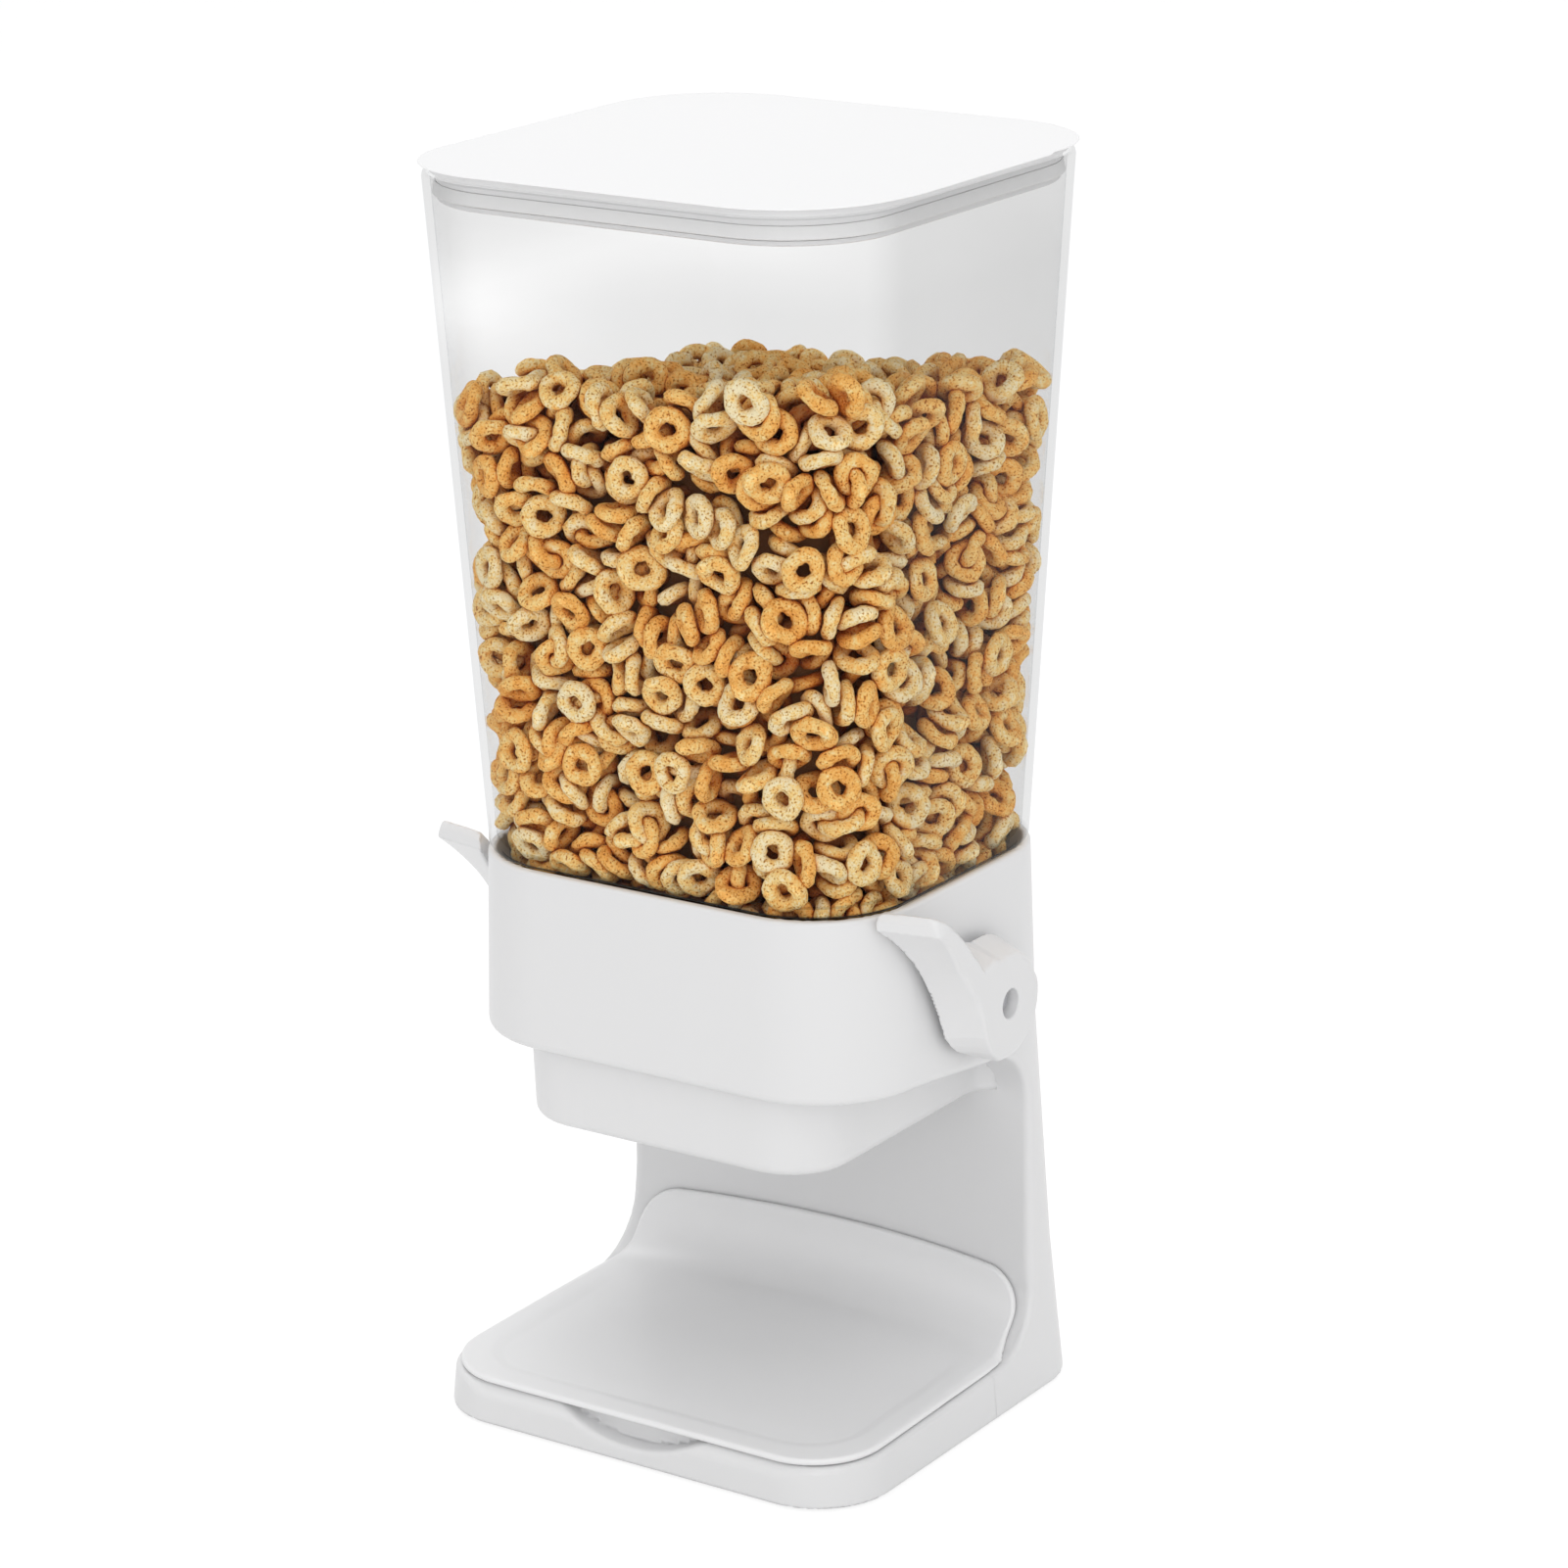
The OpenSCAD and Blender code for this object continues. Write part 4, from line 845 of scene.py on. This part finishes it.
def near_pairs(p, size):
    """Pairs of points closer than size, found on a grid."""
    cell = np.floor(p / size).astype(int)
    cell -= cell.min(0)
    span = cell.max(0) + 3
    key = (cell[:, 0] * span[1] + cell[:, 1]) * span[2] + cell[:, 2]
    order = np.argsort(key, kind="stable")
    sorted_key = key[order]
    pairs = []
    for dx, dy, dz in ((i, j, k) for i in (-1, 0, 1) for j in (-1, 0, 1) for k in (-1, 0, 1)):
        shift = (dx * span[1] + dy) * span[2] + dz
        if shift < 0:
            continue
        lo = np.searchsorted(sorted_key, key + shift, "left")
        n = np.searchsorted(sorted_key, key + shift, "right") - lo
        a = np.repeat(np.arange(len(p)), n)
        b = order[np.repeat(lo, n) + np.arange(n.sum()) - np.repeat(np.cumsum(n) - n, n)]
        keep = a < b if shift == 0 else slice(None)
        pairs.append(np.stack([a[keep], b[keep]], 1))
    pairs = np.concatenate(pairs)
    return pairs[((p[pairs[:, 0]] - p[pairs[:, 1]]) ** 2).sum(1) < size * size]


def poured(rng):
    """Loose places for the rings that can be seen, and a random frame for each."""
    s = RING_SPACE ** (1 / 3)
    axes = [np.arange(-80, 80, s), np.arange(-80, 80, s), np.arange(NECK_FOOT + 3, 350, s)]
    p = np.stack(np.meshgrid(*axes, indexing="ij"), -1).reshape(-1, 3)
    p = p + rng.uniform(-s / 2, s / 2, p.shape)
    p = p[(cavity(*p.T) < -2.5) & (depth(*p.T) < DEEP) & (heap_top(p[:, 0], p[:, 1]) > p[:, 2] + 2)]
    axis = rng.normal(size=p.shape)
    axis /= np.linalg.norm(axis, axis=1)[:, None]
    side = np.cross(axis, rng.normal(size=p.shape))
    side /= np.linalg.norm(side, axis=1)[:, None]
    return p, np.stack([side, np.cross(axis, side), axis], 1)


def contacts(balls, pairs):
    """How each ball must move to leave its neighbours, the walls and the top, and how many touch it."""
    i, j = pairs.T
    gap = balls[j] - balls[i]
    far = np.sqrt((gap ** 2).sum(1)) + 1e-9
    hit = far < 2 * RING_T
    i, j = i[hit], j[hit]
    push = (0.5 * (2 * RING_T - far[hit]) / far[hit])[:, None] * gap[hit]
    n = len(balls)
    move = np.stack([np.bincount(j, c, n) - np.bincount(i, c, n) for c in push.T], 1)
    count = np.bincount(i, minlength=n) + np.bincount(j, minlength=n)
    wall, out = gradient(cavity, balls, 0.1)
    wall = np.maximum(wall + RING_T + 0.1, 0)
    high = SOFT * np.maximum(balls[:, 2] + RING_T - heap_top(balls[:, 0], balls[:, 1]) - 1, 0)
    inner, away = gradient(depth, balls, 0.1)
    inner = SOFT * np.maximum(inner - DEEP - 3, 0)
    move -= wall[:, None] * out + inner[:, None] * away
    move[:, 2] -= high
    return move, count + (wall > 0) + (high > 0) + (inner > 0)


def turned(frames, spin):
    """Frames turned about the spin vectors, by no more than MOST_TURN."""
    angle = np.linalg.norm(spin, axis=1)
    axis = (spin / np.maximum(angle, 1e-9)[:, None])[:, None, :]
    angle = np.minimum(angle, MOST_TURN)[:, None, None]
    along = axis * (frames * axis).sum(2, keepdims=True)
    cross = np.cross(np.broadcast_to(axis, frames.shape), frames)
    return frames * np.cos(angle) + cross * np.sin(angle) + along * (1 - np.cos(angle))


def settle(rng):
    """Places and frames of the rings, pushed apart as rigid pieces until they lie like poured cereal."""
    p, frames = poured(rng)
    u = np.arange(BEADS) * 2 * math.pi / BEADS
    local = RING_R * np.stack([np.cos(u), np.sin(u), 0 * u], 1)
    for step in range(STEPS):
        arm = np.einsum("kb,nbc->nkc", local, frames)
        balls = (p[:, None] + arm).reshape(-1, 3)
        if step % PAIRS_EVERY == 0:
            pairs = near_pairs(balls, 2 * RING_T + PAIR_MARGIN)
            pairs = pairs[pairs[:, 0] // BEADS != pairs[:, 1] // BEADS]
        move, count = contacts(balls, pairs)
        move = move.reshape(-1, BEADS, 3)
        share = EASE / np.maximum(count.reshape(-1, BEADS).sum(1), 1)[:, None]
        shift = move.sum(1) * share
        shift[:, 2] -= SINK * (1 - step / STEPS)
        p = p + np.clip(shift, -MOST_MOVE, MOST_MOVE)
        frames = turned(frames, np.cross(arm, move).sum(1) * share / RING_R ** 2)
    return p, frames


def ring_shape(rng, nu, nv):
    """One ring, a lumpy torus out of round: points, quads, and for each point 0 in the hole to 1 outside."""
    u, v = np.meshgrid(np.arange(nu) * 2 * math.pi / nu, np.arange(nv) * 2 * math.pi / nv, indexing="ij")
    a = rng.uniform(0, 2 * math.pi, 8)
    swell = RING_T * (1 + 0.07 * np.sin(2 * u + a[0]) + 0.05 * np.sin(5 * u + a[1])
                      + 0.04 * np.sin(7 * u + 2 * v + a[2]) + 0.04 * np.sin(3 * v + 4 * u + a[3])
                      + rng.uniform(-0.03, 0.03, u.shape))
    r = RING_R * (1 + 0.06 * np.sin(2 * u + a[4]) + 0.03 * np.sin(3 * u + a[5]) + 0.02 * np.sin(4 * u + a[6]))
    x = (r + swell * np.cos(v)) * np.cos(u)
    y = (r + swell * np.cos(v)) * np.sin(u)
    z = 0.92 * swell * np.sin(v) + 0.35 * np.sin(2 * u + a[7])
    iu, iv = np.meshgrid(np.arange(nu), np.arange(nv), indexing="ij")
    ju, jv = (iu + 1) % nu, (iv + 1) % nv
    quads = np.stack([iu * nv + iv, ju * nv + iv, ju * nv + jv, iu * nv + jv], -1).reshape(-1, 4)
    return np.stack([x, y, z], -1).reshape(-1, 3), quads, 0.5 + 0.5 * np.cos(v).reshape(-1)


def cereal():
    """Rings that can be seen through the walls or from above, in four layers of meshes, round a core painted
    dark as shade.
    """
    rng = np.random.default_rng(7)
    p, frames = settle(rng)
    near = depth(*p.T) < NEAR
    fine = [ring_shape(rng, *FINE_MESH) for _ in range(FINE_SHAPES)]
    coarse = [ring_shape(rng, *COARSE_MESH) for _ in range(COARSE_SHAPES)]
    material = cereal_skin()
    for name, (low, high) in BANDS.items():
        points, quads, tones, base = [], [], [], 0
        for i in np.flatnonzero((p[:, 2] >= low) & (p[:, 2] < high)):
            shapes = fine if near[i] else coarse
            shape, quad, outer = shapes[rng.integers(len(shapes))]
            points.append(p[i] + rng.uniform(0.96, 1.05) * shape @ frames[i])
            quads.append(quad + base)
            base += len(shape)
            tones.append(np.stack([np.full(len(shape), rng.uniform(0.3, 0.7)), outer], 1))
        points, tones = np.concatenate(points), np.concatenate(tones)
        piece = mesh_piece(name, points, np.concatenate(quads))
        # Painted shade: rings fade to dark below the heap's skin, and are darker inside their holes.
        light = 1 - smooth((depth(*points.T) - LIT_DEPTH) / LIT_FADE)
        paint_points(piece, tone=tones[:, 0], light=light * (0.72 + 0.28 * tones[:, 1]))
        piece.data.materials.append(material)
        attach(piece, "hopper")
    core()


def core():
    """The middle of the cereal: a plain body behind the rings, painted dark as the shade deep in the heap."""
    rings = [(hopper_outline(z, HOPPER_WALL + CORE_IN), z) for z in CORE_LEVELS]
    piece = stack("cereal_core", rings)
    # Painted shade: the core's dark brown stands for the shade among the rings that are left out.
    m, tree, bsdf = shader("cereal_core", (0.16, 0.06, 0.015), 0.9)
    grain(tree, bsdf, 250, 0.002)
    piece.data.materials.append(m)
    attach(piece, "hopper")


# ---- Scene -----------------------------------------------------------------

PHOTO_PIXELS, FOCAL_PIXELS = 1601, 5122.5  # the frame's width and the lens's focal length
CAMERA_AT = (0.8049, -1.1835, 0.6421)  # in metres
CAMERA_TURN = (-33.93, 17.42, -0.72)  # yaw, pitch down and roll, in degrees
LAMPS = {"key": ((1.1, -1.0, 1.89), 1.6, 7.5),  # place and size in metres, and power in watts
         "fill": ((1.1, -1.5, 0.6), 1.2, 5.6),
         "left": ((-1.1, -1.3, 0.8), 1.2, 1.0),
         "top": ((-0.3, 0.3, 1.9), 1.0, 11)}
AIM = (0, 0, 0.2)  # what the lamps point at
ROOM_LIGHT, FLOOR_GLOW, FLOOR_HALF = 0.72, 0.82, 3.0  # strengths, and half the floor's side in metres


def camera():
    """A long lens to the right of the front, looking a little down."""
    data = bpy.data.cameras.new("camera")
    cam = bpy.data.objects.new("camera", data)
    bpy.context.scene.collection.objects.link(cam)
    yaw, pitch, roll = (math.radians(v) for v in CAMERA_TURN)
    ahead = Vector((math.sin(yaw) * math.cos(pitch), math.cos(yaw) * math.cos(pitch), -math.sin(pitch)))
    right = Vector((math.cos(yaw), -math.sin(yaw), 0))
    up = right.cross(ahead)
    r2 = math.cos(roll) * right + math.sin(roll) * up
    u2 = math.cos(roll) * up - math.sin(roll) * right
    m = Matrix((r2, u2, -ahead)).transposed().to_4x4()
    m.translation = Vector(CAMERA_AT)
    cam.matrix_world = m
    data.sensor_width = 36
    data.lens = FOCAL_PIXELS / PHOTO_PIXELS * data.sensor_width
    data.clip_end = 20
    bpy.context.scene.camera = cam


def lamp(name, at, size, power):
    """A square area lamp that points at the object."""
    data = bpy.data.lights.new(name, "AREA")
    data.energy = power
    data.size = size
    lamp_object = bpy.data.objects.new(name, data)
    bpy.context.scene.collection.objects.link(lamp_object)
    lamp_object.location = at
    lamp_object.rotation_mode = "QUATERNION"
    lamp_object.rotation_quaternion = (Vector(AIM) - Vector(at)).to_track_quat("-Z", "Y")


def studio():
    """White room: soft light from all round, two lamps at the front right, a weak one left, one above."""
    world = bpy.data.worlds.new("studio")
    bpy.context.scene.world = world
    world.use_nodes = True
    tree = world.node_tree
    dim = tree.nodes["Background"]
    dim.inputs["Color"].default_value = (1, 1, 1, 1)
    dim.inputs["Strength"].default_value = ROOM_LIGHT
    bright = add(tree, "ShaderNodeBackground", Color=(1, 1, 1, 1), Strength=1.0)
    mix = add(tree, "ShaderNodeMixShader", [(seen_ray(tree), 0), (dim.outputs[0], 1), (bright.outputs[0], 2)])
    tree.links.new(mix.outputs[0], tree.nodes["World Output"].inputs["Surface"])
    for name, (at, size, power) in LAMPS.items():
        lamp(name, at, size, power)
    studio_floor()
    bpy.context.scene.view_settings.view_transform = "Standard"


def seen_ray(tree):
    """1 for rays that show the background: from the camera, or by way of glass or a gloss."""
    path = tree.nodes.new("ShaderNodeLightPath")
    a = add(tree, "ShaderNodeMath", [(path.outputs["Is Camera Ray"], 0), (path.outputs["Is Glossy Ray"], 1)],
            operation="MAXIMUM")
    b = add(tree, "ShaderNodeMath", [(a.outputs[0], 0), (path.outputs["Is Transmission Ray"], 1)],
            operation="MAXIMUM")
    return b.outputs[0]


def studio_floor():
    """The floor: white where it is seen, with the object's faint shadow."""
    mesh = bpy.data.meshes.new("floor")
    s = FLOOR_HALF
    mesh.from_pydata([(-s, -s, 0), (s, -s, 0), (s, s, 0), (-s, s, 0)], [], [(0, 1, 2, 3)])
    floor = bpy.data.objects.new("floor", mesh)
    bpy.context.scene.collection.objects.link(floor)
    m, tree, bsdf = shader("floor_white", (0.9, 0.9, 0.9), 0.9)
    bsdf.inputs["Specular IOR Level"].default_value = 0.0
    glow = add(tree, "ShaderNodeEmission", Color=(1, 1, 1, 1), Strength=FLOOR_GLOW)
    faint = add(tree, "ShaderNodeBsdfDiffuse", Color=(0.24, 0.24, 0.24, 1))
    both = add(tree, "ShaderNodeAddShader", [(faint.outputs[0], 0), (glow.outputs[0], 1)])
    mix = add(tree, "ShaderNodeMixShader", [(seen_ray(tree), 0), (bsdf.outputs[0], 1), (both.outputs[0], 2)])
    tree.links.new(mix.outputs[0], tree.nodes["Material Output"].inputs["Surface"])
    mesh.materials.append(m)


dress_cad()
stand()
chute_and_tray()
levers()
hopper()
lid()
cereal()
camera()
studio()
